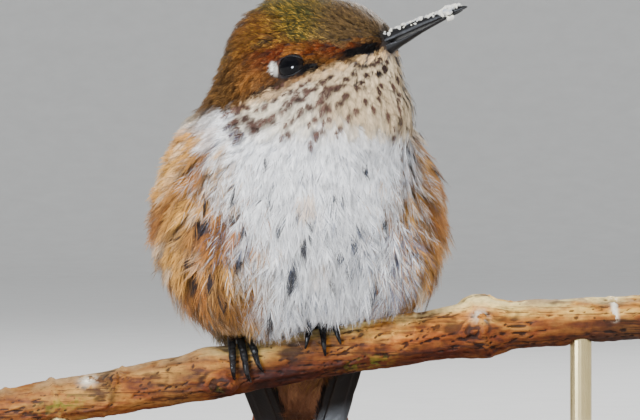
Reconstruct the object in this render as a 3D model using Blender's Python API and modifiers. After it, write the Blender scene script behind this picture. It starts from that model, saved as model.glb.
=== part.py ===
"""A life-size model of a small perched hummingbird, fluffed up, on a cut twig held by a display stand.

The bird is a female scintillant hummingbird (Selasphorus scintilla). She sits across the twig, her breast
to the front (-Y), with her head turned to her left and her bill raised. The origin is the centre of the
underside of the stand's base, +X runs along the twig and +Z is up. Dimensions are stated in millimetres
and turned into metres by mm().
"""

import math

import bmesh
import bpy
from mathutils import Matrix, Vector

MM = 0.001


def mm(*values):
    """Millimetres to metres: a number, or a vector of three."""
    return values[0] * MM if len(values) == 1 else Vector(values) * MM


# ---- Driving dimensions -------------------------------------------------------------------------------

GAP = 0.3  # clearance between neighbouring pieces
ROOM = 0.42  # how far the hollows for the wings and the tail stand off them, at their corners
FINE_GAP = 0.15  # clearance between the small pieces of the feet and the bill

# The stand
BASE_SIZE = (80.0, 56.0, 5.0)
BASE_CORNER = 9.0
BASE_EDGE = 0.8  # width of the chamfer round the base's faces
ROD_RADIUS = 1.25
ROD_X = 30.0
ROD_FOOT_DEPTH = 2.5  # how far a rod goes into the base
ROD_HEAD_DEPTH = 1.6  # how far a rod goes into the twig

# The twig: x, y, height of the axis and radius at each place where it bends or swells
PERCH_STATIONS = (
    (-44.0, 0.7, 23.9, 2.55),
    (-36.0, 0.4, 25.0, 2.60),
    (-25.5, 0.0, 26.8, 2.65),
    (-24.0, 0.0, 27.0, 2.95),
    (-22.5, 0.0, 27.3, 2.75),
    (-15.5, -0.2, 28.6, 2.85),
    (-12.0, -0.2, 29.3, 3.30),
    (-8.5, -0.1, 29.9, 2.95),
    (0.0, 0.0, 31.5, 3.00),
    (10.0, 0.0, 33.2, 3.05),
    (16.5, 0.2, 34.1, 3.15),
    (18.8, 0.3, 34.4, 3.65),
    (22.0, 0.3, 34.7, 2.95),
    (30.0, 0.2, 35.2, 2.75),
    (44.0, -0.4, 36.3, 2.65),
)
PERCH_STEP = 3.2
BUD_DEPTH = 0.9  # how deep the middle of a bud lies under the bark
# Buds and leaf scars on the twig: x, angle round it from the top towards the front, radii
PERCH_BUDS = (
    (18.4, -14.0, (2.6, 1.8, 1.5)),
    (-11.2, 118.0, (2.1, 1.5, 1.6)),
    (-23.6, 55.0, (1.0, 1.5, 1.1)),
    (16.8, 96.0, (1.3, 1.3, 1.0)),
)

# The body frame: origin over the twig, turned to the bird's left, x to the bird's left, y back, z up
BODY_AT = (-2.6, 0.0, 30.8)
BODY_YAW = 5.0
# The head frame: origin in the middle of the skull, forward is -y
HEAD_AT = (-1.5, -4.5, 62.8)
HEAD_YAW = 55.0
HEAD_PITCH = 21.0

# Rounded forms of the plumage: centre, radii (side, fore-aft, up) and forward tilt in degrees
TRUNK_FORMS = {
    "trunk": ((0.5, 2.0, 15.8), (17.9, 14.0, 15.4), 24.0),
    "breast": ((0.8, -3.0, 20.0), (13.8, 11.2, 11.5), 10.0),
    "shoulders": ((0.3, 2.6, 23.8), (15.4, 10.6, 8.2), 18.0),
    "flank_left": ((9.4, -0.4, 12.0), (8.0, 9.2, 8.6), 0.0),
    "flank_right": ((-8.4, -0.4, 11.4), (7.6, 9.2, 8.4), 0.0),
    "rump": ((0.3, 8.6, 7.4), (10.0, 7.4, 9.6), 25.0),
    "upper_coverts": ((0.9, 13.4, 2.6), (4.2, 3.2, 7.4), 15.0),
    "tail_coverts": ((1.4, 12.4, -1.0), (3.1, 3.0, 8.6), 20.0),
}
HEAD_FORMS = {
    "skull": ((0.0, 0.6, 0.7), (9.0, 9.8, 10.0), 0.0),
    "crown": ((0.0, -4.6, 0.7), (6.8, 7.0, 7.4), 0.0),
    "forehead": ((0.0, -6.3, 0.5), (5.4, 6.4, 5.8), 0.0),
    "chin": ((0.0, -7.2, -3.2), (4.4, 5.2, 4.4), 0.0),
    "throat": ((0.0, -4.6, -6.6), (7.8, 7.1, 6.8), 0.0),
    "cheek_left": ((3.6, -0.8, -3.2), (5.6, 7.2, 6.0), 0.0),
    "cheek_right": ((-3.6, -0.8, -3.2), (5.6, 7.2, 6.0), 0.0),
}
NECK_FORMS = {
    "neck": ((0.8, -0.6, 26.8), (12.6, 11.0, 8.2), 0.0),
    "nape": ((-1.8, 1.2, 28.8), (8.8, 9.2, 9.2), 0.0),
    "throat_front": ((2.2, -5.0, 24.8), (11.2, 9.2, 8.6), 0.0),
}
VOXEL = 0.6
SMOOTHING = 32
BODY_TRIANGLES = 1850
# Planes that part the head from the neck and the neck from the trunk: point, in the body frame, and tilt
HEAD_CUT = ((0.9, -2.0, 29.2), 14.0)
TRUNK_CUT = ((0.9, -2.0, 23.2), 8.0)

# The eyes and the bill, in the head frame
EYE_RADIUS = 2.05
EYE_AT = (6.5, -3.4, -0.3)
BILL_ROOT = 8.6  # distance of the bill's hidden root from the head's centre
# distance from the root, half width, half height and rise of each ring of the bill
BILL_RINGS = (
    (0.0, 1.25, 1.08, -0.10),
    (2.4, 1.15, 1.00, -0.02),
    (5.0, 0.90, 0.85, 0.06),
    (8.0, 0.72, 0.68, 0.02),
    (11.0, 0.58, 0.54, -0.14),
    (13.2, 0.43, 0.39, -0.32),
    (14.3, 0.25, 0.22, -0.42),
    (14.7, 0.08, 0.07, -0.46),
)
BILL_SIDES = 14
GAPE_DROP = 0.12  # how far below the bill's axis the mandibles part, at the root
GAPE_GAP = 0.1

# Flight feathers: each one's middle stands out as a low ridge and reaches on past its edges
SHAFT_RIDGE = 0.22
SHAFT_REACH = 0.035  # as a share of the feather's length
FEATHER_ROWS = 6

# The folded wings: leading edge from the wrist to the tip, for the left wing, in the body frame
WING_EDGE = ((13.8, 7.4, 20.5), (13.0, 12.0, 12.5), (8.8, 12.4, 3.0), (3.2, 11.4, -12.4))
WING_WIDTHS = (3.8, 9.2, 7.4, 6.2)
WING_CHORDS = ((-0.78, 0.62, 0.06), (-0.90, 0.42, 0.0), (-0.90, 0.34, 0.0), (-0.92, 0.30, 0.0))
WING_THICKNESS = (1.9, 1.5, 1.0, 0.7)
WING_FEATHERS = 7
WING_SHORTEST = 0.54  # length of the innermost feather as a share of the outermost
WING_ON_BODY = (0.5, 0.72)  # shares of its length between which the wing parts from the body
WING_LIFT = 0.1  # how far the middle of a wing's thickness lies off the body there
WING_SPREAD = {"left": -0.5, "right": 0.6}  # how far each wing tip stands out to its side

# The tail: base centre and end, for a fan of feathers, in the body frame
TAIL_LINE = ((0.0, 13.2, 3.0), (0.0, 16.0, -4.0), (0.0, 18.6, -12.0), (0.0, 21.2, -20.5))
TAIL_WIDTHS = (3.8, 6.6, 10.2, 13.2)
TAIL_THICKNESS = (2.2, 1.7, 1.2, 0.8)
TAIL_FEATHERS = 10
TAIL_OUTER = 0.93  # length of the outermost feather as a share of the middle ones
SWING = 2.4  # how far the tail and the wing tips are swung to the bird's left, TAIL_DROP below the wrists
TAIL_DROP = 40.0

# The feet: where each leg meets the twig and the angle round it, then for each front toe how far its claw
# drifts along the twig and the angles, from the top towards the front, where the toe and the claw end
TOE_RADIUS = 0.42
TOE_SPACING = 0.98
CLAW_RADIUS = 0.36
CLAW_TIP_RADIUS = 0.1
CLAW_ARCH = 0.42  # how far the middle of a claw stands off the line from its root to its tip
CLAW_LIFT = 0.02  # clearance of a claw's tip from the twig
CLAW_STEPS = 6
TOE_STEPS = 8
TOE_PINCH = 0.06  # how much nearer the twig the tip of a toe lies than its root
TOE_TAPER = 0.2
KNUCKLE = 0.08  # how much thicker a toe is at its knuckles, as a share of its radius
HIND_SHIFT = 0.4  # how far the hind toe drifts to the bird's outside
LEG_RADIUS = 0.5
KNEE = (0.0, 1.2, 5.5)  # from the foot to the top of the leg
FOOT_POCKET = (4.2, 4.9, 4.9)  # radii, round the twig's axis, of the hollow that leaves the foot free
FEET = {
    "right": {
        "x": -9.2,
        "start": 6.0,
        "inner": (1.7, 66.0, 104.0),
        "middle": (1.3, 76.0, 123.0),
        "outer": (0.4, 72.0, 110.0),
    },
    "left": {
        "x": 0.1,
        "start": -26.0,
        "inner": (-0.8, 36.0, 72.0),
        "middle": (0.5, 48.0, 95.0),
        "outer": (1.3, 38.0, 76.0),
    },
}
HIND_GAP = 26.0  # angle between the roots of the front toes and the hind toe
HIND_SWEEP = (58.0, 96.0)  # how far round the twig the hind toe and its claw end, from the hind toe's root

SLOTS = {
    "plumage": ((0.62, 0.42, 0.24), 0.8, 0.0),
    "flight_feather": ((0.09, 0.075, 0.07), 0.55, 0.0),
    "eye": ((0.012, 0.01, 0.01), 0.08, 0.0),
    "bill": ((0.02, 0.02, 0.024), 0.35, 0.0),
    "foot": ((0.03, 0.028, 0.03), 0.5, 0.0),
    "claw": ((0.012, 0.012, 0.014), 0.25, 0.0),
    "bark": ((0.45, 0.24, 0.1), 0.85, 0.0),
    "stand_wood": ((0.12, 0.065, 0.035), 0.45, 0.0),
    "stand_metal": ((0.75, 0.68, 0.5), 0.3, 1.0),
}


# ---- General helpers ----------------------------------------------------------------------------------


def clear_scene():
    for old in list(bpy.data.objects):
        bpy.data.objects.remove(old)


def make_collection(name, hidden=False):
    made = bpy.data.collections.new(name)
    bpy.context.scene.collection.children.link(made)
    made.hide_render = hidden
    return made


def make_material(name):
    colour, roughness, metallic = SLOTS[name]
    made = bpy.data.materials.new(name)
    made.use_nodes = True
    shader = made.node_tree.nodes["Principled BSDF"]
    shader.inputs["Base Color"].default_value = (*colour, 1.0)
    shader.inputs["Roughness"].default_value = roughness
    shader.inputs["Metallic"].default_value = metallic
    return made


def add_object(name, data, collection, slot=None):
    """A new object in a collection, with the material of its slot. In a hidden collection it is a cutter."""
    made = bpy.data.objects.new(name, data)
    collection.objects.link(made)
    if collection.hide_render:
        made.hide_render = True
        made.display_type = "WIRE"
    if slot:
        data.materials.clear()
        data.materials.append(bpy.data.materials.get(slot) or make_material(slot))
    return made


def mesh_from(name, build):
    """A mesh made by build(bm)."""
    bm = bmesh.new()
    build(bm)
    bmesh.ops.recalc_face_normals(bm, faces=bm.faces)
    data = bpy.data.meshes.new(name)
    bm.to_mesh(data)
    bm.free()
    return data


def settle(obj):
    """Replaces an object by one with its evaluated mesh, welded, with no modifiers left."""
    graph = bpy.context.evaluated_depsgraph_get()
    data = bpy.data.meshes.new_from_object(obj.evaluated_get(graph))
    bm = bmesh.new()
    bm.from_mesh(data)
    bmesh.ops.remove_doubles(bm, verts=bm.verts, dist=mm(0.002))
    bm.to_mesh(data)
    bm.free()
    name, collection, matrix = obj.name, obj.users_collection[0], obj.matrix_world.copy()
    bpy.data.objects.remove(obj)
    made = add_object(name, data, collection)
    made.matrix_world = matrix
    return made


def combine(obj, others, operation="DIFFERENCE"):
    """Applies a Boolean with each of the others, one by one, and returns the settled object."""
    for other in others:
        cut = obj.modifiers.new(f"{operation.lower()}_{other.name}", "BOOLEAN")
        cut.operation = operation
        cut.object = other
        cut.solver = "EXACT"
    return settle(obj)


def drop_crumbs(obj):
    """Keeps only the largest connected piece, as a cut can leave loose crumbs along its edges."""
    bm = bmesh.new()
    bm.from_mesh(obj.data)
    bmesh.ops.triangulate(bm, faces=bm.faces)
    left, pieces = set(bm.faces), []
    while left:
        piece, front = set(), [left.pop()]
        while front:
            face = front.pop()
            piece.add(face)
            shared = [edge for edge in face.edges if len(edge.link_faces) == 2]
            near = {other for edge in shared for other in edge.link_faces} & left
            left -= near
            front.extend(near)
        pieces.append(piece)
    pieces.sort(key=len)
    bmesh.ops.delete(bm, geom=[face for piece in pieces[:-1] for face in piece], context="FACES")
    bm.to_mesh(obj.data)
    bm.free()


def cut_flat(bm, point, normal):
    """Cuts away what lies behind a plane, and closes the cut."""
    geometry = bm.verts[:] + bm.edges[:] + bm.faces[:]
    bmesh.ops.bisect_plane(bm, geom=geometry, plane_co=point, plane_no=normal, clear_inner=True)
    bmesh.ops.holes_fill(bm, edges=[edge for edge in bm.edges if edge.is_boundary], sides=0)


def smooth_shade(obj, angle=40.0):
    obj.data.shade_smooth()
    obj.data.set_sharp_from_angle(angle=math.radians(angle))


def smooth_line(points, t):
    """The point at t, 0 to 1, on a Catmull-Rom curve through evenly spaced points of any size."""
    last = len(points) - 1
    place = min(max(t, 0.0), 1.0) * last
    i = min(int(place), last - 1)
    f = place - i
    before, a, b, after = (points[min(max(k, 0), last)] for k in (i - 1, i, i + 1, i + 2))
    return [
        0.5 * (2 * q + (r - p) * f + (2 * p - 5 * q + 4 * r - s) * f**2 + (3 * q - p - 3 * r + s) * f**3)
        for p, q, r, s in zip(before, a, b, after)
    ]


def tube(name, points, radii, collection, slot=None, roundness=1):
    """A curve object with round section: points in metres, and a radius in metres at each."""
    data = bpy.data.curves.new(name, "CURVE")
    data.dimensions = "3D"
    data.bevel_depth = 1.0
    data.bevel_resolution = roundness
    data.use_fill_caps = True
    spline = data.splines.new("POLY")
    spline.points.add(len(points) - 1)
    for place, point, radius in zip(spline.points, points, radii):
        place.co = (*point, 1.0)
        place.radius = radius
    return add_object(name, data, collection, slot)


# ---- The twig -----------------------------------------------------------------------------------------


def perch_at(x):
    """(axis point, radius) of the twig at x, in millimetres."""
    stations = PERCH_STATIONS
    i = max(k for k in range(len(stations) - 1) if stations[k][0] <= x or k == 0)
    a, b = stations[i], stations[i + 1]
    f = min(max((x - a[0]) / (b[0] - a[0]), 0.0), 1.0)
    f = f * f * (3 - 2 * f)
    height_share = (x - a[0]) / (b[0] - a[0])
    y = a[1] + (b[1] - a[1]) * f
    z = a[2] + (b[2] - a[2]) * height_share
    return Vector((x, y, z)), a[3] + (b[3] - a[3]) * f


def round_perch(x, angle, distance):
    """The point at a distance from the twig's surface, at an angle from its top towards the front."""
    axis, radius = perch_at(x)
    turn = math.radians(angle)
    return axis + (radius + distance) * Vector((0, -math.sin(turn), math.cos(turn)))


def perch_tube(name, collection, first, last, grow=0.0, slot=None):
    """The twig between two x positions, larger all round by grow."""
    count = round((last - first) / PERCH_STEP)
    points, radii = [], []
    for i in range(count + 1):
        axis, radius = perch_at(first + (last - first) * i / count)
        points.append(axis * MM)
        radii.append(mm(radius + grow))
    return tube(name, points, radii, collection, slot, roundness=3)


def make_perch(parts, cutters):
    perch = settle(perch_tube("perch", parts, PERCH_STATIONS[0][0], PERCH_STATIONS[-1][0], slot="bark"))
    buds = []
    for i, (x, angle, radii) in enumerate(PERCH_BUDS):
        bud = add_object(f"bud_{i}", mesh_from("bud", ball(radii, 8, 6)), cutters)
        bud.location = round_perch(x, angle, -BUD_DEPTH) * MM
        bud.rotation_euler = (math.radians(angle), 0, 0)
        buds.append(bud)
    perch = combine(perch, buds, "UNION")
    holes = []
    for x in (-ROD_X, ROD_X):
        axis, radius = perch_at(x)
        top = axis.z - radius + ROD_HEAD_DEPTH + GAP
        holes.append(cylinder(f"rod_hole_{x:.0f}", x, top - 4 * radius, top, ROD_RADIUS + GAP / 2, cutters))
    perch = combine(perch, holes)
    smooth_shade(perch, 60)
    return perch


# ---- Primitives ---------------------------------------------------------------------------------------


def ball(radii, around, rings, matrix=None):
    """Builder of an ellipsoid with the given radii, in millimetres."""

    def build(bm):
        scale = Matrix.Diagonal((*(r * MM for r in radii), 1.0))
        bmesh.ops.create_uvsphere(
            bm, u_segments=around, v_segments=rings, radius=1.0, matrix=(matrix or Matrix()) @ scale
        )

    return build


def cylinder(name, x, low, high, radius, collection, slot=None):
    """An upright cylinder at x between two heights, in millimetres."""

    def build(bm):
        bmesh.ops.create_cone(
            bm, cap_ends=True, segments=20, radius1=mm(radius), radius2=mm(radius), depth=mm(high - low)
        )

    made = add_object(name, mesh_from(name, build), collection, slot)
    made.location = mm(x, perch_at(x)[0].y, (low + high) / 2)
    return made


# ---- The body -----------------------------------------------------------------------------------------


def body_frame():
    return Matrix.Translation(mm(*BODY_AT)) @ Matrix.Rotation(math.radians(BODY_YAW), 4, "Z")


def head_frame():
    turn = Matrix.Rotation(math.radians(HEAD_YAW), 4, "Z")
    raise_bill = Matrix.Rotation(math.radians(-HEAD_PITCH), 4, "X")
    return Matrix.Translation(mm(*HEAD_AT)) @ turn @ raise_bill


def form_matrix(frame, centre, tilt):
    return frame @ Matrix.Translation(mm(*centre)) @ Matrix.Rotation(math.radians(tilt), 4, "X")


def make_body(cutters):
    """The outline of head, neck and trunk out to the feather tips, blended into one closed form."""

    def build(bm):
        groups = ((body_frame(), TRUNK_FORMS), (body_frame(), NECK_FORMS), (head_frame(), HEAD_FORMS))
        for frame, forms in groups:
            for centre, radii, tilt in forms.values():
                ball(radii, 40, 24, form_matrix(frame, centre, tilt))(bm)

    body = add_object("body", mesh_from("body", build), cutters)
    blend = body.modifiers.new("blend", "REMESH")
    blend.mode = "VOXEL"
    blend.voxel_size = mm(VOXEL)
    smooth = body.modifiers.new("smooth", "SMOOTH")
    smooth.factor = 0.5
    smooth.iterations = SMOOTHING
    body = settle(body)
    body.data.calc_loop_triangles()
    thin = body.modifiers.new("thin", "DECIMATE")
    thin.ratio = BODY_TRIANGLES / len(body.data.loop_triangles)
    return settle(body)


def slab_cut(body, name, collection, above=None, below=None):
    """A copy of the body between two cut planes, each given as (point, tilt) in the body frame."""

    def build(bm):
        bm.from_mesh(body.data)
        for plane, side in ((above, 1), (below, -1)):
            if plane:
                matrix = form_matrix(body_frame(), *plane)
                normal = (matrix.to_3x3() @ Vector((0, 0, 1))).normalized() * side
                cut_flat(bm, matrix.translation + normal * mm(GAP / 2), normal)

    return add_object(name, mesh_from(name, build), collection, "plumage")


def ball_cutter(name, matrix, radii, collection):
    return add_object(name, mesh_from(name, ball(radii, 14, 9, matrix)), collection)


# ---- Wings and tail -----------------------------------------------------------------------------------


def drop_share(z):
    return min(max((WING_EDGE[0][2] - z) / TAIL_DROP, 0.0), 1.0)


def blade(line, widths, chords, thicknesses, feathers, lengths, centred, facing, press=None):
    """Builder of a stack of overlapping flat feathers, in the body frame.

    line is the edge, or the middle if centred, that the stack follows, chords the direction across it,
    and lengths(u) how far the feather at u across the stack reaches. facing is 1 or -1, for the side with
    the feathers' shafts, and press(point, out, t) lays the stack on the body.
    """
    rows = FEATHER_ROWS
    columns = 2 * feathers

    def place(t, u):
        here = Vector(smooth_line(line, t))
        ahead = Vector(smooth_line(line, min(t + 0.02, 1.0))) - Vector(smooth_line(line, min(t, 0.98)))
        across = Vector(smooth_line(chords, t))
        across = (across - across.project(ahead)).normalized()
        out = across.cross(ahead).normalized() * facing
        width = smooth_line([(w,) for w in widths], t)[0]
        point = here + across * width * (u - 0.5 if centred else u)
        return press(point, out, t) if press else (point, out)

    def build(bm):
        outer, inner = [], []
        for i in range(rows + 1):
            outer_row, inner_row = [], []
            for j in range(columns + 1):
                u = j / columns
                middle = (min(j // 2, feathers - 1) + 0.5) / feathers
                on_shaft = j % 2
                t = i / rows * (lengths(middle) + SHAFT_REACH * on_shaft)
                point, out = place(t, u)
                thick = smooth_line([(w,) for w in thicknesses], t)[0] * (0.7 + 0.3 * math.sin(math.pi * u))
                lift = thick * 0.5 + SHAFT_RIDGE * on_shaft
                outer_row.append(bm.verts.new((point + out * lift) * MM))
                inner_row.append(bm.verts.new((point - out * thick * 0.5) * MM))
            outer.append(outer_row)
            inner.append(inner_row)
        for i in range(rows):
            for j in range(columns):
                bm.faces.new((outer[i][j], outer[i][j + 1], outer[i + 1][j + 1], outer[i + 1][j]))
                bm.faces.new((inner[i][j], inner[i + 1][j], inner[i + 1][j + 1], inner[i][j + 1]))
            for j in (0, columns):
                bm.faces.new((outer[i][j], outer[i + 1][j], inner[i + 1][j], inner[i][j]))
        for i in (0, rows):
            for j in range(columns):
                bm.faces.new((outer[i][j], inner[i][j], inner[i][j + 1], outer[i][j + 1]))

    return build


def wing_mesh(name, side, body):
    """A folded wing laid on the body, as far as it lies there."""
    sign = 1 if side == "left" else -1
    frame = body_frame()
    spread = WING_SPREAD[side] * sign
    edge = [
        (x * sign + SWING * drop_share(z) + spread * drop_share(z) ** 2, y, z) for x, y, z in WING_EDGE
    ]
    chords = [(x * sign, y, z) for x, y, z in WING_CHORDS]

    def lengths(u):
        return 1.0 - (1.0 - WING_SHORTEST) * u**1.4

    def press(point, out, t):
        near, far = WING_ON_BODY
        share = min(max((far - t) / (far - near), 0.0), 1.0)
        share = share * share * (3 - 2 * share)
        _, surface, normal, _ = body.closest_point_on_mesh(frame @ (point * MM))
        surface = frame.inverted() @ surface / MM
        normal = frame.to_3x3().inverted() @ normal
        return point.lerp(surface + normal * WING_LIFT, share), out.lerp(normal, share).normalized()

    return mesh_from(
        name,
        blade(edge, WING_WIDTHS, chords, WING_THICKNESS, WING_FEATHERS, lengths, False, -sign, press),
    )


def tail_mesh(name):
    line = [(x + SWING * drop_share(z), y, z) for x, y, z in TAIL_LINE]
    chords = [(1.0, 0.0, 0.0)] * 4

    def lengths(u):
        return 1.0 - (1.0 - TAIL_OUTER) * (2 * u - 1) ** 2

    return mesh_from(
        name,
        blade(line, TAIL_WIDTHS, chords, TAIL_THICKNESS, TAIL_FEATHERS, lengths, True, 1),
    )


def room_for(piece, cutters):
    """A cutter with the shape of a piece, larger all round by its clearance."""
    room = add_object(f"{piece.name}_room", piece.data.copy(), cutters)
    room.matrix_world = piece.matrix_world
    swell = room.modifiers.new("swell", "DISPLACE")
    swell.mid_level = 0.0
    swell.strength = mm(ROOM)
    return settle(room)


# ---- Bill and eyes ------------------------------------------------------------------------------------


def bill_builder(grow=0.0):
    """Builder of the whole bill in the head frame, as a loft of ovals."""

    def build(bm):
        rings = []
        for distance, half_width, half_height, rise in BILL_RINGS:
            ring = []
            for k in range(BILL_SIDES):
                turn = 2 * math.pi * k / BILL_SIDES
                x = (half_width + grow) * math.cos(turn)
                z = (half_height + grow) * math.sin(turn) + rise
                ring.append(bm.verts.new(mm(x, -BILL_ROOT - distance, z)))
            rings.append(ring)
        for first, second in zip(rings, rings[1:]):
            for k in range(BILL_SIDES):
                n = (k + 1) % BILL_SIDES
                bm.faces.new((first[k], first[n], second[n], second[k]))
        bm.faces.new(rings[0])
        bm.faces.new(rings[-1])

    return build


def make_mandible(name, upper, parts):
    """One half of the bill, cut along the gape line."""
    root, tip = BILL_RINGS[0], BILL_RINGS[-1]
    slope = (tip[3] - root[3]) / (tip[0] - root[0])
    normal = Vector((0, slope, 1)).normalized() * (1 if upper else -1)
    point = mm(0, -BILL_ROOT, root[3] - GAPE_DROP) + normal * mm(GAPE_GAP / 2)

    def build(bm):
        bill_builder()(bm)
        cut_flat(bm, point, normal)

    made = add_object(name, mesh_from(name, build), parts, "bill")
    made.matrix_world = head_frame()
    smooth_shade(made)
    return made


def eye_matrix(side):
    x, y, z = EYE_AT
    return head_frame() @ Matrix.Translation(mm(side * x, y, z))


def make_eye(name, side, parts):
    radii = (EYE_RADIUS,) * 3
    made = add_object(name, mesh_from(name, ball(radii, 14, 10)), parts, "eye")
    made.matrix_world = eye_matrix(side)
    smooth_shade(made, 180)
    return made


# ---- Feet ---------------------------------------------------------------------------------------------


def toe_path(x, shift, start, end, distance_start, distance_end, count):
    """Points round the twig from one angle to another, drifting sideways by shift."""
    points = []
    for i in range(count + 1):
        f = i / count
        distance = distance_start + (distance_end - distance_start) * f
        points.append(round_perch(x + shift * f**1.4, start + (end - start) * f, distance) * MM)
    return points


def make_toe(side, toe, x, shift, start, end, claw_end, parts):
    """A toe and its claw, wrapped round the twig."""
    root, tip = TOE_RADIUS + FINE_GAP, TOE_RADIUS + FINE_GAP - TOE_PINCH
    points = toe_path(x, shift / 2, start, end, root, tip, TOE_STEPS)
    radii = []
    for i in range(TOE_STEPS + 1):
        swell = KNUCKLE if i % 3 == 1 else 0.0
        radii.append(mm(TOE_RADIUS * (1.0 - TOE_TAPER * i / TOE_STEPS + swell)))
    settle_round(tube(f"toe_{side}_{toe}", points, radii, parts, "foot"))

    x += shift / 2
    gap_angle = math.degrees(FINE_GAP / (perch_at(x)[1] + root))
    begin = end + math.copysign(gap_angle, end - start)
    claw_tip = CLAW_TIP_RADIUS + CLAW_LIFT
    points, radii = [], []
    for i, point in enumerate(toe_path(x, shift / 2, begin, claw_end, tip, claw_tip, CLAW_STEPS)):
        share = i / CLAW_STEPS
        outward = (point - perch_at(point.x / MM)[0] * MM).normalized()
        points.append(point + outward * mm(CLAW_ARCH * math.sin(math.pi * share)))
        radii.append(mm(CLAW_RADIUS + (CLAW_TIP_RADIUS - CLAW_RADIUS) * share**1.3))
    settle_round(tube(f"claw_{side}_{toe}", points, radii, parts, "claw"))


def settle_round(obj):
    made = settle(obj)
    smooth_shade(made, 50)
    return made


def make_foot(side, foot, parts, cutters):
    """Three front toes, the hind toe and the leg of one foot. Returns the cutters that make room for it."""
    x, start = foot["x"], foot["start"]
    outward = -1 if side == "right" else 1
    for toe, place in (("inner", -outward), ("middle", 0), ("outer", outward)):
        shift, end, claw_end = foot[toe]
        make_toe(side, toe, x + place * TOE_SPACING, shift, start, end, claw_end, parts)
    hind = start - HIND_GAP
    hind_end, hind_claw_end = (hind - sweep for sweep in HIND_SWEEP)
    make_toe(side, "hind", x, HIND_SHIFT * outward, hind, hind_end, hind_claw_end, parts)

    foot_top = round_perch(x, start - HIND_GAP / 2, TOE_RADIUS * 2 + FINE_GAP * 2 + LEG_RADIUS)
    knee = foot_top + Vector(KNEE)
    points = [foot_top.lerp(knee, f) * MM for f in (0.0, 0.15, 0.5, 1.0)]
    radii = [mm(LEG_RADIUS * f) for f in (1.0, 0.95, 0.85, 0.95)]
    settle_round(tube(f"leg_{side}", points, radii, parts, "foot"))

    room = tube(
        f"leg_room_{side}",
        [points[0], points[-1] + mm(0, GAP, GAP * 2)],
        [mm(LEG_RADIUS + GAP)] * 2,
        cutters,
    )
    pocket_at = Matrix.Translation(perch_at(x)[0] * MM)
    pocket = ball_cutter(f"foot_pocket_{side}", pocket_at, FOOT_POCKET, cutters)
    return [settle(room), pocket]


# ---- The stand ----------------------------------------------------------------------------------------


def make_base(parts, cutters):
    width, depth, height = BASE_SIZE

    def build(bm):
        bmesh.ops.create_cube(bm, size=1.0, matrix=Matrix.Diagonal((*mm(width, depth, height), 1.0)))
        upright = [e for e in bm.edges if abs(e.verts[0].co.z - e.verts[1].co.z) > mm(1)]
        bmesh.ops.bevel(
            bm, geom=upright, offset=mm(BASE_CORNER), segments=4, profile=0.5, affect="EDGES"
        )

    base = add_object("stand_base", mesh_from("stand_base", build), parts, "stand_wood")
    base.location = mm(0, 0, height / 2)
    edge = base.modifiers.new("edge", "BEVEL")
    edge.width = mm(BASE_EDGE)
    edge.segments = 2
    edge.limit_method = "ANGLE"
    edge.angle_limit = math.radians(60)
    base = settle(base)
    low = height - ROD_FOOT_DEPTH - GAP
    holes = [
        cylinder(f"foot_hole_{x:.0f}", x, low, 2 * height, ROD_RADIUS + GAP / 2, cutters)
        for x in (-ROD_X, ROD_X)
    ]
    base = combine(base, holes)
    smooth_shade(base, 30)
    return base


def make_rods(parts):
    for name, x in (("left", -ROD_X), ("right", ROD_X)):
        axis, radius = perch_at(x)
        low = BASE_SIZE[2] - ROD_FOOT_DEPTH
        high = axis.z - radius + ROD_HEAD_DEPTH
        rod = cylinder(f"stand_rod_{name}", x, low, high, ROD_RADIUS, parts, "stand_metal")
        smooth_shade(rod, 30)


# ---- Assembly -----------------------------------------------------------------------------------------


def main():
    clear_scene()
    parts = make_collection("hummingbird")
    cutters = make_collection("cutters", hidden=True)

    make_base(parts, cutters)
    make_rods(parts)
    make_perch(parts, cutters)

    foot_room = []
    for side, foot in FEET.items():
        foot_room += make_foot(side, foot, parts, cutters)

    body = make_body(cutters)
    head = slab_cut(body, "head", parts, above=HEAD_CUT)
    neck = slab_cut(body, "neck", parts, above=TRUNK_CUT, below=HEAD_CUT)
    trunk = slab_cut(body, "trunk", parts, below=TRUNK_CUT)

    feathers = []
    for side, sign in (("left", 1), ("right", -1)):
        make_eye(f"eye_{side}", sign, parts)
        wing = add_object(f"wing_{side}", wing_mesh("wing", side, body), parts, "flight_feather")
        wing.matrix_world = body_frame()
        smooth_shade(wing, 30)
        feathers.append(wing)
    make_mandible("bill_upper", True, parts)
    make_mandible("bill_lower", False, parts)
    tail = add_object("tail", tail_mesh("tail"), parts, "flight_feather")
    tail.matrix_world = body_frame()
    smooth_shade(tail, 30)
    feathers.append(tail)

    sockets = [
        ball_cutter(f"socket_{sign}", eye_matrix(sign), (EYE_RADIUS + FINE_GAP,) * 3, cutters)
        for sign in (1, -1)
    ]
    bill_room = add_object("bill_room", mesh_from("bill_room", bill_builder(GAP)), cutters)
    bill_room.matrix_world = head_frame() @ Matrix.Translation(mm(0, GAP, 0))
    head = combine(head, [*sockets, bill_room])

    reach = TRUNK_FORMS["trunk"][1][0] + 4
    perch_room = settle(perch_tube("perch_room", cutters, BODY_AT[0] - reach, BODY_AT[0] + reach, GAP))
    trunk = combine(trunk, [perch_room, *(room_for(piece, cutters) for piece in feathers), *foot_room])
    for piece in (head, neck, trunk):
        drop_crumbs(piece)
        smooth_shade(piece, 60)


main()
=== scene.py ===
"""The looks of a life-size perched hummingbird on a display stand.

A female scintillant hummingbird (Selasphorus scintilla), fluffed up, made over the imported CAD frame:
one skin under a coat of feathers built barb by barb, flight feathers, lids, bark and a studio.
Lengths are stated in millimetres and turned into metres where meshes are made.
"""

import collections
import math

import bmesh
import bpy
import numpy as np
from mathutils import Matrix, Vector, noise
from mathutils.bvhtree import BVHTree
from mathutils.kdtree import KDTree


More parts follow.
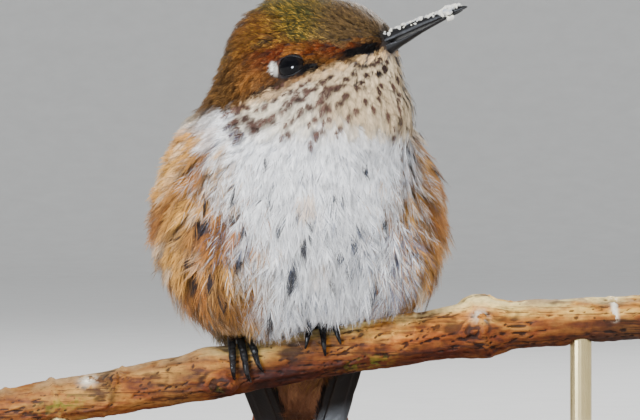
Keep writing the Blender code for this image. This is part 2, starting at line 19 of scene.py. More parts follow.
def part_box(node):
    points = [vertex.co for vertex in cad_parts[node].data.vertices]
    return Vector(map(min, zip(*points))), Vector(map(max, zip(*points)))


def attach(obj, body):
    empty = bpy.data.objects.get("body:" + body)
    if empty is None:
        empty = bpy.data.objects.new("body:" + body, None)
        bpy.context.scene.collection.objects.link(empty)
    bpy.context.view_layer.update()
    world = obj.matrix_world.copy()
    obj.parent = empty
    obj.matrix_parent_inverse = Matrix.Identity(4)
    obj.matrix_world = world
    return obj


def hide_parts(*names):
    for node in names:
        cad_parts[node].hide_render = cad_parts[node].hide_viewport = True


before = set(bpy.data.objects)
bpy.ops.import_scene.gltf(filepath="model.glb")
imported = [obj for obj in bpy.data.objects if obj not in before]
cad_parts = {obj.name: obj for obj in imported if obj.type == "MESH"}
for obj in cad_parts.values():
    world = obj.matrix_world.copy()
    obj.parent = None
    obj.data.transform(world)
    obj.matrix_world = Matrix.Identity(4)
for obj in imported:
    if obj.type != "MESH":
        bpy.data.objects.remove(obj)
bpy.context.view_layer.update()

MM = 0.001
SEED = 20
SIDES = ("left", "right")

# The frames that the CAD is made in: the body's and the head's, forward is -y, up is z
BODY = Matrix.Translation(Vector((-2.6, 0.0, 30.8))) @ Matrix.Rotation(math.radians(5), 4, "Z")
HEAD = (
    Matrix.Translation(Vector((-1.5, -4.5, 62.8)))
    @ Matrix.Rotation(math.radians(55), 4, "Z")
    @ Matrix.Rotation(math.radians(-21), 4, "X")
)


# ---- Numbers ------------------------------------------------------------------------------------------


def unit(v):
    """Vectors of length 1 in the same directions."""
    return v / np.maximum(np.linalg.norm(v, axis=-1, keepdims=True), 1e-12)


def step(low, high, x):
    """0 at low and 1 at high, smoothly between them and level outside them; low may lie above high."""
    t = np.clip((x - low) / (high - low), 0.0, 1.0)
    return t * t * (3 - 2 * t)


def bell(x, centre, reach):
    """1 at the centre, falling off smoothly on both sides."""
    return np.exp(-(((x - centre) / reach) ** 2))


def between(x, low, high, soft):
    """1 from low to high, softly 0 outside them."""
    return step(low - soft, low, x) * step(high + soft, high, x)


def into(matrix, points):
    """Points of the row frame in another frame, in millimetres."""
    inverse = np.array(matrix.inverted())
    return points @ inverse[:3, :3].T + inverse[:3, 3]


def colour(r, g, b):
    """A linear colour from its sRGB values, 0 to 255."""
    c = np.array((r, g, b)) / 255
    return np.where(c <= 0.04045, c / 12.92, ((c + 0.055) / 1.055) ** 2.4)


def mix(a, b, share):
    """a where the share is 0, b where it is 1, and blends between."""
    share = np.asarray(share)[..., None]
    return a * (1 - share) + b * share


def wavy(points, scale, seed=0.0):
    """Smooth noise, about -1 to 1, at each point."""
    shift = Vector((seed, seed * 1.7, -seed))
    return np.array([noise.noise(Vector(p) * scale + shift) for p in points])


# ---- Meshes -------------------------------------------------------------------------------------------


def read(items, key, columns, kind=np.float32):
    """One value of every item of a Blender collection, a row each."""
    values = np.empty(len(items) * columns, kind)
    items.foreach_get(key, values)
    return values.reshape(-1, columns)


def node_mesh(*names):
    """(points in mm, triangles) of CAD nodes as packed."""
    found = []
    for name in names:
        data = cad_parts[name].data
        data.calc_loop_triangles()
        found.append((read(data.vertices, "co", 3) / MM, read(data.loop_triangles, "vertices", 3, np.int32)))
    points, faces = together(*found)
    return points.astype(float), faces


def mesh_of(name, points, faces):
    """A smooth mesh from points in mm and faces of one size."""
    points, faces = np.asarray(points, float), np.asarray(faces, np.int32)
    corners = faces.shape[1]
    data = bpy.data.meshes.new(name)
    data.vertices.add(len(points))
    data.vertices.foreach_set("co", (points * MM).astype(np.float32).ravel())
    data.loops.add(faces.size)
    data.loops.foreach_set("vertex_index", faces.ravel())
    data.polygons.add(len(faces))
    data.polygons.foreach_set("loop_start", np.arange(0, faces.size, corners, dtype=np.int32))
    data.polygons.foreach_set("use_smooth", np.full(len(faces), True))
    data.update(calc_edges=True)
    return data


def add(name, data, *materials):
    """A new object in the scene."""
    made = bpy.data.objects.new(name, data)
    bpy.context.scene.collection.objects.link(made)
    for material in materials:
        data.materials.append(material)
    return made


def piece(name, data, material, replaces=()):
    """A piece of the visual model, which rides the root body and stands for the CAD nodes that it replaces."""
    made = add(name, data, material)
    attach(made, "root")
    if replaces:
        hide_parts(*replaces)
    return made


def write(data, name, kind, values):
    """Stores one value for each point of a mesh as a named attribute."""
    made = data.attributes.new(name, kind, "POINT")
    key = {"FLOAT": "value", "FLOAT_VECTOR": "vector", "FLOAT_COLOR": "color"}[kind]
    made.data.foreach_set(key, np.ascontiguousarray(values, np.float32).ravel())


def tint(data, colours):
    """Stores a colour for each point."""
    write(data, "tint", "FLOAT_COLOR", np.concatenate([colours, np.ones((len(colours), 1))], axis=1))


def evaluated(obj):
    """(points in mm, triangles, normals) of an object with its modifiers, which is then removed."""
    graph = bpy.context.evaluated_depsgraph_get()
    data = bpy.data.meshes.new_from_object(obj.evaluated_get(graph))
    bpy.data.objects.remove(obj)
    data.calc_loop_triangles()
    points = read(data.vertices, "co", 3).astype(float) / MM
    faces = read(data.loop_triangles, "vertices", 3, np.int32)
    normals = read(data.vertices, "normal", 3).astype(float)
    bpy.data.meshes.remove(data)
    return points, faces, normals


def blended(points, faces, swell, voxel, smoothing):
    """One closed smooth form round some closed meshes, larger all round by swell."""
    work = add("blend", mesh_of("blend", points, faces))
    if swell:
        grow = work.modifiers.new("swell", "DISPLACE")
        grow.mid_level = 0.0
        grow.strength = swell * MM
    melt = work.modifiers.new("melt", "REMESH")
    melt.mode = "VOXEL"
    melt.voxel_size = voxel * MM
    ease = work.modifiers.new("ease", "SMOOTH")
    ease.factor = 0.5
    ease.iterations = smoothing
    return evaluated(work)


def ball(centre, radii, around=24, rings=16):
    """(points, triangles) of an ellipsoid."""
    bm = bmesh.new()
    bmesh.ops.create_uvsphere(bm, u_segments=around, v_segments=rings, radius=1.0)
    bmesh.ops.triangulate(bm, faces=bm.faces)
    points = np.array([v.co for v in bm.verts]) * np.array(radii) + np.array(centre)
    faces = np.array([[v.index for v in f.verts] for f in bm.faces])
    bm.free()
    # Blender lists the triangles in another order on each run, so they are put in order
    faces = np.array([np.roll(face, -face.argmin()) for face in faces])
    return points, faces[np.lexsort(faces.T)]


def facing_out(points, faces):
    """A closed shell's triangles, all turned round if they face inwards."""
    a, b, c = (points[faces[:, k]] for k in range(3))
    return faces if (np.cross(a, b) * c).sum() > 0 else faces[:, ::-1]


def together(*meshes):
    """(points, triangles) of several meshes as one."""
    points, faces, count = [], [], 0
    for p, f in meshes:
        points.append(p)
        faces.append(f + count)
        count += len(p)
    return np.concatenate(points), np.concatenate(faces)


def tree_of(points, faces):
    return BVHTree.FromPolygons(points.tolist(), faces.tolist())


def lookup_of(points):
    """A tree that finds the nearest of some points."""
    made = KDTree(len(points))
    for index, point in enumerate(points):
        made.insert(point, index)
    made.balance()
    return made


# ---- Materials ----------------------------------------------------------------------------------------


class Nodes:
    """A material's nodes, written one line each."""

    def __init__(self, name):
        self.material = bpy.data.materials.new(name)
        self.material.use_nodes = True
        self.tree = self.material.node_tree
        self.shader = next(n for n in self.tree.nodes if n.type == "BSDF_PRINCIPLED")

    def put(self, socket, value):
        if isinstance(value, bpy.types.NodeSocket):
            self.tree.links.new(value, socket)
        elif socket.type == "RGBA":
            socket.default_value = (*value, 1.0)
        else:
            socket.default_value = value

    def node(self, kind, inputs=None, **settings):
        made = self.tree.nodes.new("ShaderNode" + kind)
        for key, value in settings.items():
            setattr(made, key, value)
        for key, value in (inputs or {}).items():
            self.put(made.inputs[key], value)
        return made

    def place(self):
        return self.node("TexCoord").outputs["Object"]

    def attribute(self, name, output="Color"):
        return self.node("Attribute", attribute_name=name).outputs[output]

    def parts(self, vector):
        return self.node("SeparateXYZ", {0: vector}).outputs

    def math(self, operation, a, b=0.0):
        return self.node("Math", {0: a, 1: b}, operation=operation).outputs[0]

    def times(self, a, b):
        return self.math("MULTIPLY", a, b)

    def noise(self, vector, scale, detail=3.0, roughness=0.55, distortion=0.0):
        """Noise at one scale, or at one for each axis."""
        if hasattr(scale, "__len__"):
            vector, scale = self.node("Mapping", {"Vector": vector, "Scale": scale}).outputs[0], 1.0
        inputs = {
            "Vector": vector, "Scale": scale, "Detail": detail, "Roughness": roughness, "Distortion": distortion,
        }
        return self.node("TexNoise", inputs).outputs["Fac"]

    def cells(self, vector, scale):
        return self.node("TexVoronoi", {"Vector": vector, "Scale": scale}).outputs["Distance"]

    def ramp(self, value, *stops):
        """A colour ramp of (place, colour or grey) stops."""
        made = self.node("ValToRGB", {"Fac": value})
        elements = made.color_ramp.elements
        while len(elements) < len(stops):
            elements.new(0.5)
        for element, (place, shade) in zip(elements, stops):
            element.position = place
            element.color = (*np.broadcast_to(shade, 3), 1.0)
        return made.outputs["Color"]

    def range(self, value, low, high, to_low=0.0, to_high=1.0):
        inputs = {"Value": value, "From Min": low, "From Max": high, "To Min": to_low, "To Max": to_high}
        return self.node("MapRange", inputs, interpolation_type="SMOOTHSTEP").outputs["Result"]

    def blend(self, share, a, b, kind="MIX"):
        made = self.node("Mix", data_type="RGBA", blend_type=kind)
        for socket, value in ((0, share), (6, a), (7, b)):
            self.put(made.inputs[socket], value)
        return made.outputs[2]

    def shade(self, a, b):
        return self.blend(1.0, a, b, "MULTIPLY")

    def bump(self, height, strength, distance):
        return self.node("Bump", {"Height": height, "Strength": strength, "Distance": distance}).outputs["Normal"]

    def finish(self, **sockets):
        for key, value in sockets.items():
            self.put(self.shader.inputs[key.replace("_", " ").title().replace("Ior", "IOR")], value)
        return self.material


# ---- Regions of the plumage ---------------------------------------------------------------------------

# For each region: the frame, a centre and a reach in mm, then
# depth of the coat, spacing, length and half width of the feathers, how far tips stand out, looseness 0 to 1.
# Regions are mirrored; a point takes a mean of the regions near it.
FIELDS = ("depth", "spacing", "length", "width", "lift", "loose")
REGIONS = (
    (HEAD, (0.0, -12.0, 0.2), 2.6, (0.22, 0.34, 0.85, 0.20, 0.02, 0.20)),
    (HEAD, (0.0, -9.5, 4.0), 3.0, (0.45, 0.42, 1.25, 0.30, 0.05, 0.45)),
    (HEAD, (0.0, -4.0, 8.5), 4.5, (0.80, 0.50, 1.70, 0.42, 0.09, 0.55)),
    (HEAD, (0.0, 5.0, 8.0), 5.0, (0.95, 0.60, 2.20, 0.55, 0.09, 0.55)),
    (HEAD, (5.5, -7.5, 1.0), 2.6, (0.35, 0.40, 1.05, 0.26, 0.04, 0.40)),
    (HEAD, (8.2, -3.8, 0.0), 2.4, (0.22, 0.34, 0.85, 0.20, 0.01, 0.30)),
    (HEAD, (8.5, 1.5, 0.8), 3.2, (0.80, 0.52, 1.90, 0.42, 0.10, 0.60)),
    (HEAD, (6.0, 8.5, 2.0), 4.0, (1.20, 0.70, 2.80, 0.65, 0.12, 0.65)),
    (HEAD, (0.0, 10.0, 2.0), 4.5, (1.20, 0.80, 3.00, 0.80, 0.10, 0.50)),
    (HEAD, (0.0, -11.0, -3.0), 2.8, (0.30, 0.40, 1.25, 0.28, 0.22, 0.30)),
    (HEAD, (5.0, -7.5, -4.0), 3.0, (0.55, 0.52, 1.70, 0.42, 0.05, 0.40)),
    (HEAD, (3.0, -10.0, -7.0), 3.6, (0.75, 0.56, 2.00, 0.48, 0.24, 0.45)),
    (HEAD, (7.5, -1.0, -5.0), 3.6, (0.90, 0.62, 2.40, 0.60, 0.06, 0.55)),
    (BODY, (3.0, -13.0, 25.0), 5.0, (1.40, 0.68, 3.20, 0.85, 0.06, 0.75)),
    (BODY, (10.0, -8.0, 25.0), 4.5, (1.60, 0.72, 3.60, 0.90, 0.08, 0.80)),
    (BODY, (13.0, 2.0, 24.0), 5.0, (1.80, 0.80, 3.80, 0.95, 0.14, 0.60)),
    (BODY, (0.0, -13.0, 17.0), 6.0, (2.40, 0.74, 4.80, 1.10, 0.10, 0.90)),
    (BODY, (0.0, -11.0, 9.0), 5.5, (2.60, 0.78, 5.20, 1.15, 0.14, 0.95)),
    (BODY, (0.0, -5.0, 3.5), 4.5, (1.80, 0.78, 4.20, 1.00, 0.10, 0.95)),
    (BODY, (15.0, -5.0, 18.0), 5.0, (2.60, 0.80, 4.60, 1.00, 0.38, 0.75)),
    (BODY, (15.0, -3.0, 9.0), 5.5, (2.80, 0.82, 4.80, 1.00, 0.42, 0.80)),
    (BODY, (9.0, -4.0, 4.5), 4.0, (2.20, 0.80, 4.60, 0.95, 0.32, 0.90)),
    (BODY, (0.0, 12.0, 24.0), 7.0, (1.60, 0.95, 4.00, 1.15, 0.06, 0.35)),
    (BODY, (0.0, 16.0, 14.0), 7.0, (1.60, 1.00, 4.40, 1.25, 0.06, 0.35)),
    (BODY, (0.0, 16.0, 5.0), 5.5, (1.40, 0.95, 4.40, 1.20, 0.06, 0.40)),
    (BODY, (0.0, 16.0, -3.0), 5.0, (0.80, 0.85, 4.80, 1.10, 0.05, 0.40)),
    (BODY, (0.0, 10.0, -3.0), 4.0, (0.80, 0.80, 4.60, 1.05, 0.06, 0.60)),
)


def fields(points):
    """What each region says of some points, blended: one column for each of FIELDS."""
    total, weights = np.zeros((len(points), len(FIELDS))), np.zeros((len(points), 1))
    for matrix, centre, reach, values in REGIONS:
        local = into(matrix, points)
        local[:, 0] = np.abs(local[:, 0])
        away = np.linalg.norm(local - np.array(centre), axis=1)[:, None]
        near = np.exp(-((away / reach) ** 2)) ** 1.6
        near += 1e-9 / (1.0 + away) ** 4  # so that points far from every region have a mean too
        total += near * np.array(values)
        weights += near
    return total / weights


# ---- Skin ---------------------------------------------------------------------------------------------

EYE_FORM = (2.30, 1.80, 2.05)  # radii of the eye as it shows, the last outwards
EYE_SHIFT = (0.04, 0.40)  # how far ahead and up of the node's middle the eye as it shows lies
LID_LENGTH, LID_HEIGHT = 1.74, 1.06  # half length and half height of the opening between the lids
LID_RIM = 0.16  # width of the bare rim between the opening and the feathers
SOCKET = (2.9, 2.9, 1.66)  # radii of the skin's form round an eye, the last outwards
THIGH = (2.2, 2.4, 2.6)  # radii of the skin's form at the top of a leg
SNOUT = (1.36, 2.9, 1.46)  # radii of the skin's form at the base of the bill, the second along the bill
SNOUT_AHEAD, SNOUT_UP = 1.3, 0.12  # how far that form lies from the base's middle
SWELL = 0.36  # how far head, neck and trunk are swollen so that they melt into one


def eye_frame(side):
    """The frame of an eye, z outwards: the middle of its node, facing along the head's side and a little ahead."""
    low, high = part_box(f"eye_{side}")
    middle = np.array(low + high) / 2 / MM
    head = np.array(HEAD)[:3, :3]
    sign = 1.0 if side == "left" else -1.0
    outward = unit(head @ np.array((sign * 1.0, -0.12, 0.02)))
    forward = head @ np.array((0.0, -1.0, 0.0))
    forward = unit(forward - outward * (forward @ outward))
    upward = np.cross(forward, outward) * sign
    return middle + forward * EYE_SHIFT[0] + upward * EYE_SHIFT[1], outward, forward, upward


EYES = {side: eye_frame(side) for side in SIDES}


def line_of(points, count, axis=None):
    """The middle line and radius along a long node: (points, radii), from its first end to its other."""
    middle = points.mean(0)
    if axis is None:
        axis = np.linalg.svd(points - middle, full_matrices=False)[2][0]
    along = (points - middle) @ axis
    places = np.linspace(along.min(), along.max(), count)
    line, radii = [], []
    for place in places:
        near = points[np.abs(along - place) <= (places[1] - places[0]) * 0.9]
        centre = (near.min(0) + near.max(0)) / 2
        off = near - centre
        off -= np.outer(off @ axis, axis)
        line.append(centre + axis * (place - (centre - middle) @ axis))
        radii.append(np.linalg.norm(off, axis=1).max())
    return np.array(line), np.array(radii)


def turned_ball(radii, axes, *shifts):
    """(points, triangles) of an ellipsoid whose radii lie along three given axes."""
    form, faces = ball((0, 0, 0), radii, 32, 20)
    form = form @ np.stack(axes, axis=1).T
    faces = facing_out(form, faces)
    for shift in shifts:
        form = form + shift
    return form, faces


def make_skin():
    """The bare form inside the coat, as (points, triangles, normals)."""
    points, faces, normals = blended(*node_mesh("head", "neck", "trunk"), SWELL, 0.45, 14)
    forms = [(points - normals * (SWELL + fields(points)[:, 0])[:, None], faces)]
    for side in SIDES:
        low, high = (np.array(corner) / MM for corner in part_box(f"leg_{side}"))
        top = np.array(((low[0] + high[0]) / 2, high[1] + 0.4, high[2] + 0.6))
        forms.append(ball(top, THIGH))
        middle, outward, forward, upward = EYES[side]
        forms.append(turned_ball(SOCKET, (forward, upward, outward), middle))
    bill = node_mesh("bill_upper", "bill_lower")[0]
    fore = into(HEAD, bill)[:, 1]
    base = bill[np.argsort(fore)[-40:]].mean(0)
    axis = unit(bill[np.argmin(fore)] - base)
    side = np.array(HEAD)[:3, 0]
    up = np.cross(axis, side) * -1.0
    forms.append(turned_ball(SNOUT, (side, axis, up), base, axis * SNOUT_AHEAD, up * SNOUT_UP))
    return blended(*together(*forms), 0.0, 0.42, 6)


SKIN, SKIN_FACES, SKIN_NORMALS = make_skin()
SKIN_TREE = tree_of(SKIN, SKIN_FACES)
NEAR_SKIN = lookup_of(SKIN)


# ---- The lie of the coat ------------------------------------------------------------------------------


def edges_of(faces):
    """The pairs of points that some triangles join."""
    pairs = np.concatenate([faces[:, [0, 1]], faces[:, [1, 2]], faces[:, [2, 0]]])
    return np.unique(np.sort(pairs, axis=1), axis=0)


def even_out(values, edges, rounds):
    """Values at points, each drawn to the mean of its neighbours."""
    count = np.bincount(edges.ravel(), minlength=len(values)).astype(float)[:, None]
    for _ in range(rounds):
        total = np.zeros_like(values)
        for column in range(values.shape[1]):
            total[:, column] = np.bincount(edges[:, 0], values[edges[:, 1], column], len(values))
            total[:, column] += np.bincount(edges[:, 1], values[edges[:, 0], column], len(values))
        values = 0.5 * values + 0.5 * total / np.maximum(count, 1)
    return values


def steady_flow(points, edges, start, end, rounds=900, enough=1e-12):
    """A potential over the skin, 0 at the start, 1 at the end and level between, by conjugate gradients."""
    n = len(points)
    count = np.bincount(edges.ravel(), minlength=n).astype(float)
    fixed = start | end
    free = ~fixed

    def spread(x):
        around = np.bincount(edges[:, 0], x[edges[:, 1]], n) + np.bincount(edges[:, 1], x[edges[:, 0]], n)
        return count * x - around

    x = np.where(end, 1.0, 0.0)
    x[free] = 0.5
    rest = np.where(free, -spread(x), 0.0)
    scaled = rest / count
    ahead, power = scaled.copy(), rest @ scaled
    for _ in range(rounds):
        pushed = np.where(free, spread(ahead), 0.0)
        share = power / (ahead @ pushed)
        x += share * ahead
        rest -= share * pushed
        scaled = rest / count
        last, power = power, rest @ scaled
        if power < enough:
            break
        ahead = scaled + power / last * ahead
    return x


def gradient(points, faces, values):
    """The direction in which values at the points grow fastest, at each point."""
    a, b, c = (points[faces[:, k]] for k in range(3))
    normal = np.cross(b - a, c - a)
    area = np.maximum(np.linalg.norm(normal, axis=1, keepdims=True), 1e-12)
    normal = normal / area
    grown = (
        values[faces[:, 0], None] * np.cross(normal, c - b)
        + values[faces[:, 1], None] * np.cross(normal, a - c)
        + values[faces[:, 2], None] * np.cross(normal, b - a)
    ) / area
    total = np.zeros_like(points)
    for k in range(3):
        for axis in range(3):
            total[:, axis] += np.bincount(faces[:, k], unit(grown)[:, axis] * area[:, 0], len(points))
    return total


def lie_of_coat():
    """The direction in which feathers lie at each point of the skin, from the bill over the body to the tail."""
    edges = edges_of(SKIN_FACES)
    head, body = into(HEAD, SKIN), into(BODY, SKIN)
    start = np.linalg.norm(head - np.array((0.0, -11.5, 0.0)), axis=1) < 1.7
    low = body[:, 2] < body[:, 2].min() + 1.5
    potential = steady_flow(SKIN, edges, start, low)
    flow = unit(gradient(SKIN, SKIN_FACES, potential))
    # on the front the feathers hang, and fan out over the flanks
    front = step(2.0, -6.0, body[:, 1]) * step(28.0, 22.0, body[:, 2])
    turn = np.array(BODY)[:3, :3]
    x, z = body[:, 0] - 1.0, body[:, 2]
    fan = np.stack([0.028 * x, 0.0 * x, -np.ones_like(x)], axis=1)
    gather = step(13.0, 4.0, z) * step(2.0, 8.0, np.abs(x + 2.0))
    fan[:, 0] -= 0.65 * np.sign(x + 2.0) * gather
    part = bell(x, -2.4, 2.2) * bell(z, 9.5, 4.5)
    fan[:, 0] += 0.45 * part * np.tanh((x + 2.4) / 0.7)
    flow = mix(flow, unit(fan @ turn.T), 0.8 * front)
    swirl = wavy(SKIN, 0.11, 3.0) * 0.30 * step(30.0, 20.0, z)
    side = np.cross(SKIN_NORMALS, flow)
    flow = flow + side * swirl[:, None]
    flow = even_out(flow, edges, 10)
    flow -= SKIN_NORMALS * (flow * SKIN_NORMALS).sum(1, keepdims=True)
    return unit(flow)


FLOW = lie_of_coat()


# ---- Markings -----------------------------------------------------------------------------------------

WHITE = colour(240, 242, 246)
CREAM = colour(228, 218, 198)
BUFF = colour(200, 178, 144)
MALAR_BUFF = colour(204, 164, 110)
SPOT = colour(30, 20, 18)
SPOT_PALE = colour(98, 70, 60)
HEM = 56.3  # height of the gorget's lower edge
DOWN = colour(62, 66, 80)
# painted shade for the openings and thin gaps between barbs
OPENING_SHADE = colour(30, 30, 38)
CINNAMON = colour(158, 98, 44)
GOLD_BUFF = colour(208, 156, 76)
FLANK_DOWN = colour(44, 34, 30)
FLANK_STREAK = colour(66, 50, 38)
RUFOUS = colour(76, 23, 6)
EAR = colour(92, 56, 20)
DUSK = colour(46, 32, 22)
LORES = colour(12, 9, 8)
SPECK = colour(238, 236, 228)
OLIVE = colour(76, 60, 34)
SIENNA = colour(102, 59, 18)
ASH = colour(205, 206, 210)
FROST = colour(198, 152, 92)
UMBER = colour(84, 58, 34)
# bluish grey of streaks between barbs: partly the grey down, partly painted shade
DOWN_AND_SHADE_STREAK = colour(92, 104, 132)
BRONZE = colour(63, 68, 32)
# the gold of painted glints on the barbs
GOLD = colour(214, 166, 52)
NAPE = colour(68, 44, 18)
FOREHEAD = colour(82, 64, 42)
VENT = colour(144, 98, 70)
BACK = colour(66, 84, 38)


def under(line, x):
    """A boundary that is drawn by a few (place, height) pairs."""
    places, heights = zip(*line)
    return np.interp(x, places, heights)


# In the head's frame, fore-aft against up: where the brown face ends and the pale throat begins,
# and where the green crown begins
MALAR = (
    (-12.0, -1.2), (-10.5, -1.5), (-9.0, -1.35), (-7.7, -1.3), (-6.3, -1.4), (-4.8, -1.6), (-3.5, -1.75),
    (-1.7, -2.2), (-0.4, -2.3), (1.1, -1.55), (2.9, -1.2), (6.4, -1.2), (10.0, -0.6),
)
CROWN = ((-12.0, 0.0), (-9.0, 0.6), (-7.2, 1.8), (-5.0, 2.7), (-0.8, 3.5), (4.0, 4.4), (8.0, 5.0))
# In the body's frame, height against sideways: the middle and the half width of the white breast
BREAST_MIDDLE = ((5.0, 3.0), (8.5, 2.8), (14.0, 2.0), (18.3, 1.2), (24.0, 1.4))
BREAST_WIDTH = ((3.0, 7.0), (8.5, 8.2), (14.0, 9.6), (18.3, 11.0), (21.0, 11.6), (28.0, 12.4))


def blob(points, centre, radii):
    """1 within an ellipse or ellipsoid, softly 0 outside it."""
    return step(1.25, 0.75, np.linalg.norm((points - np.array(centre)) / np.array(radii), axis=1))


# Spots of the gorget on the side that the photo shows, in the row frame: x, z, half length, half width,
# angle of the long axis in degrees, and how pale, 0 to 1
SPOT_TABLE = (
    (6.9, 65, 0.28, 0.22, -45, 0.3), (9.3, 64.9, 0.6, 0.31, -56, 0.1), (7.7, 64.7, 0.3, 0.22, -45, 0.3),
    (6.6, 64.6, 0.28, 0.22, -18, 0.4), (6, 64.4, 0.28, 0.22, -45, 0.2), (4.4, 64.3, 0.3, 0.22, -52, 0.2),
    (5.2, 64.2, 0.29, 0.25, -20, 0), (7.4, 63.9, 0.46, 0.33, -76, 0.1), (6.7, 63.4, 0.36, 0.33, -45, 0),
    (4, 63.3, 0.31, 0.27, -62, 0.2), (5.4, 63.2, 0.35, 0.22, -53, 0.2), (1.2, 63, 0.43, 0.24, 28, 0.4),
    (3.1, 62.7, 0.33, 0.27, -58, 0.3), (8.9, 62.7, 0.41, 0.22, -37, 0.5), (-1.2, 62.6, 0.28, 0.22, 45, 0.9),
    (0.1, 62.4, 0.31, 0.3, 20, 0.4), (4.9, 62.4, 0.3, 0.28, -36, 0.1), (-4.4, 62, 0.28, 0.22, 27, 0.8),
    (2.6, 62, 0.39, 0.25, -28, 0.3), (7, 62, 0.35, 0.22, -53, 0.4), (-2.2, 61.9, 0.3, 0.25, 51, 0.8),
    (8.4, 61.9, 0.39, 0.22, -46, 0.7), (1.7, 61.8, 0.51, 0.4, 24, 0.5), (4.4, 61.8, 0.39, 0.28, -47, 0.3),
    (0.7, 61.7, 0.28, 0.22, -90, 0.6), (9.7, 61.7, 0.28, 0.22, -27, 0.5), (1.2, 61.6, 0.6, 0.43, 10, 0.6),
    (-0.7, 61.5, 0.43, 0.22, 6, 0.6), (6.8, 61.5, 0.52, 0.22, -50, 0.3), (-1.6, 61.3, 0.6, 0.42, 6, 0.8),
    (-3.5, 61.1, 0.29, 0.31, 0, 0.5), (9.1, 61, 0.28, 0.22, -19, 0.6), (3, 60.8, 0.39, 0.33, -48, 0.5),
    (6.7, 60.5, 0.31, 0.22, -66, 0.4), (9, 60.4, 0.31, 0.22, -41, 0.8), (-5.4, 60.3, 0.52, 0.28, 27, 0.6),
    (-3.1, 60.3, 0.41, 0.3, -7, 0.6), (-2.4, 60.3, 0.6, 0.33, 2, 0.6), (5.2, 60.3, 0.36, 0.27, -63, 0.4),
    (0.1, 60.1, 0.39, 0.39, -45, 0.9), (2.3, 60, 0.37, 0.37, -32, 0.4), (-9, 59.6, 0.6, 0.3, 1, 0.7),
    (-6.6, 59.6, 0.36, 0.31, 12, 0.6), (-8.4, 59.5, 0.6, 0.3, 2, 0.7), (-9.8, 59.4, 0.6, 0.36, 16, 0.9),
    (-1.3, 59.4, 0.6, 0.43, -20, 0.6), (9.1, 59.4, 0.49, 0.22, -32, 0.7), (0.7, 59.3, 0.6, 0.45, -53, 0.9),
    (6.1, 59.3, 0.39, 0.27, -67, 0.7), (-4.5, 59, 0.55, 0.37, 10, 0.9), (4.1, 59, 0.36, 0.33, -45, 0.8),
    (7.8, 58.6, 0.43, 0.27, -41, 0.8), (-8.9, 58.4, 0.8, 0.5, 10, 0.4), (3.3, 58.4, 0.35, 0.3, -44, 0.8),
    (-9.9, 58.1, 0.5, 0.6, 82, 0.6), (-6, 58, 0.6, 0.34, -28, 0.8), (-0.7, 58, 0.39, 0.39, 0, 0.9),
    (0.8, 58, 0.37, 0.34, -21, 0.9), (9.3, 58, 0.52, 0.27, -53, 0.4), (-8.2, 57.8, 0.85, 0.6, 11, 0.6),
    (-5.6, 57.9, 0.6, 0.36, -29, 0.8), (-3.3, 57.9, 0.38, 0.39, 6, 0.9), (8.5, 57.2, 0.3, 0.22, -52, 0.8),
    (-7.7, 57.1, 0.9, 0.6, 4, 0.5), (10.2, 57.1, 0.28, 0.22, -45, 0.5), (2.2, 56.9, 0.36, 0.37, -13, 0.9),
    (0.1, 56.7, 0.49, 0.33, -3, 0.8), (9.2, 56.6, 0.28, 0.22, -63, 0.9), (-3.7, 56.4, 0.45, 0.43, -18, 0.9),
    (-0.6, 56.3, 0.6, 0.49, 40, 0.9), (8.6, 55.9, 0.43, 0.33, -51, 0.7), (10, 55.6, 0.3, 0.22, -59, 0.7),
    (10.8, 55.5, 0.29, 0.22, -52, 0.8), (9.4, 55, 0.28, 0.24, -49, 0.9), (11.3, 54.6, 0.28, 0.24, -63, 0.8),
)


Spot = collections.namedtuple("Spot", "place normal lie length width pale")


def table_spots():
    """The spots of the table, on the coat where they show at their places in the photo."""
    seen = []
    for x, z, length, width, angle, pale in SPOT_TABLE:
        aim_at, place = np.array((x, z)), None
        for _ in range(8):  # the spot shows on the coat, so the point of the skin under it is looked for
            found = SKIN_TREE.ray_cast(Vector((aim_at[0], -100.0, aim_at[1])), Vector((0.0, 1.0, 0.0)))
            if found[0] is None:
                aim_at = aim_at - (0.4, 0.0)
                continue
            normal = np.array(found[1]) * (-1.0 if found[1][1] > 0 else 1.0)
            place = np.array(found[0]) + normal * fields(np.array([found[0]]))[0, 0]
            aim_at = aim_at + 0.7 * (np.array((x, z)) - place[[0, 2]])
        if place is None:
            continue
        long = np.array((math.cos(math.radians(angle)), 0.0, math.sin(math.radians(angle))))
        seen.append(Spot(place, normal, unit(long - normal * (long @ normal)), length, width, pale))
    return seen


def make_spots():
    """The dark spots of the gorget: those of the table, then others wherever there's room."""
    rng = np.random.default_rng(SEED + 7)
    seen = table_spots()
    head = into(HEAD, SKIN)
    y, z = head[:, 1], head[:, 2]
    surface = SKIN + SKIN_NORMALS * (0.8 * fields(SKIN)[:, 0])[:, None]
    hem = HEM + 1.6 * step(-6.0, -9.5, surface[:, 0])
    inside = (z < under(MALAR, y) - 0.15) & (y < 8.5) & (y > -11.9)
    inside &= (surface[:, 2] > hem) & (SKIN_NORMALS[:, 1] > -0.25)
    low = step(62.0, 56.5, surface[:, 2])
    apart = 0.92 + 0.7 * step(-10.5, -4.0, y) + 0.25 * low
    placed = [spot.place for spot in seen]
    for index in rng.permutation(np.flatnonzero(inside)):
        if all(np.sum((surface[index] - other) ** 2) > apart[index] ** 2 for other in placed):
            placed.append(surface[index])
            back = float(step(-6.5, -1.0, y[index]))
            width = (0.24 + 0.10 * back + 0.06 * low[index]) * rng.uniform(0.85, 1.15)
            length = width * rng.uniform(1.2, 1.6)
            pale = min(0.15 + 0.5 * back + 0.35 * low[index], 0.85)
            seen.append(Spot(surface[index], SKIN_NORMALS[index], FLOW[index], length, width, pale))
    return seen


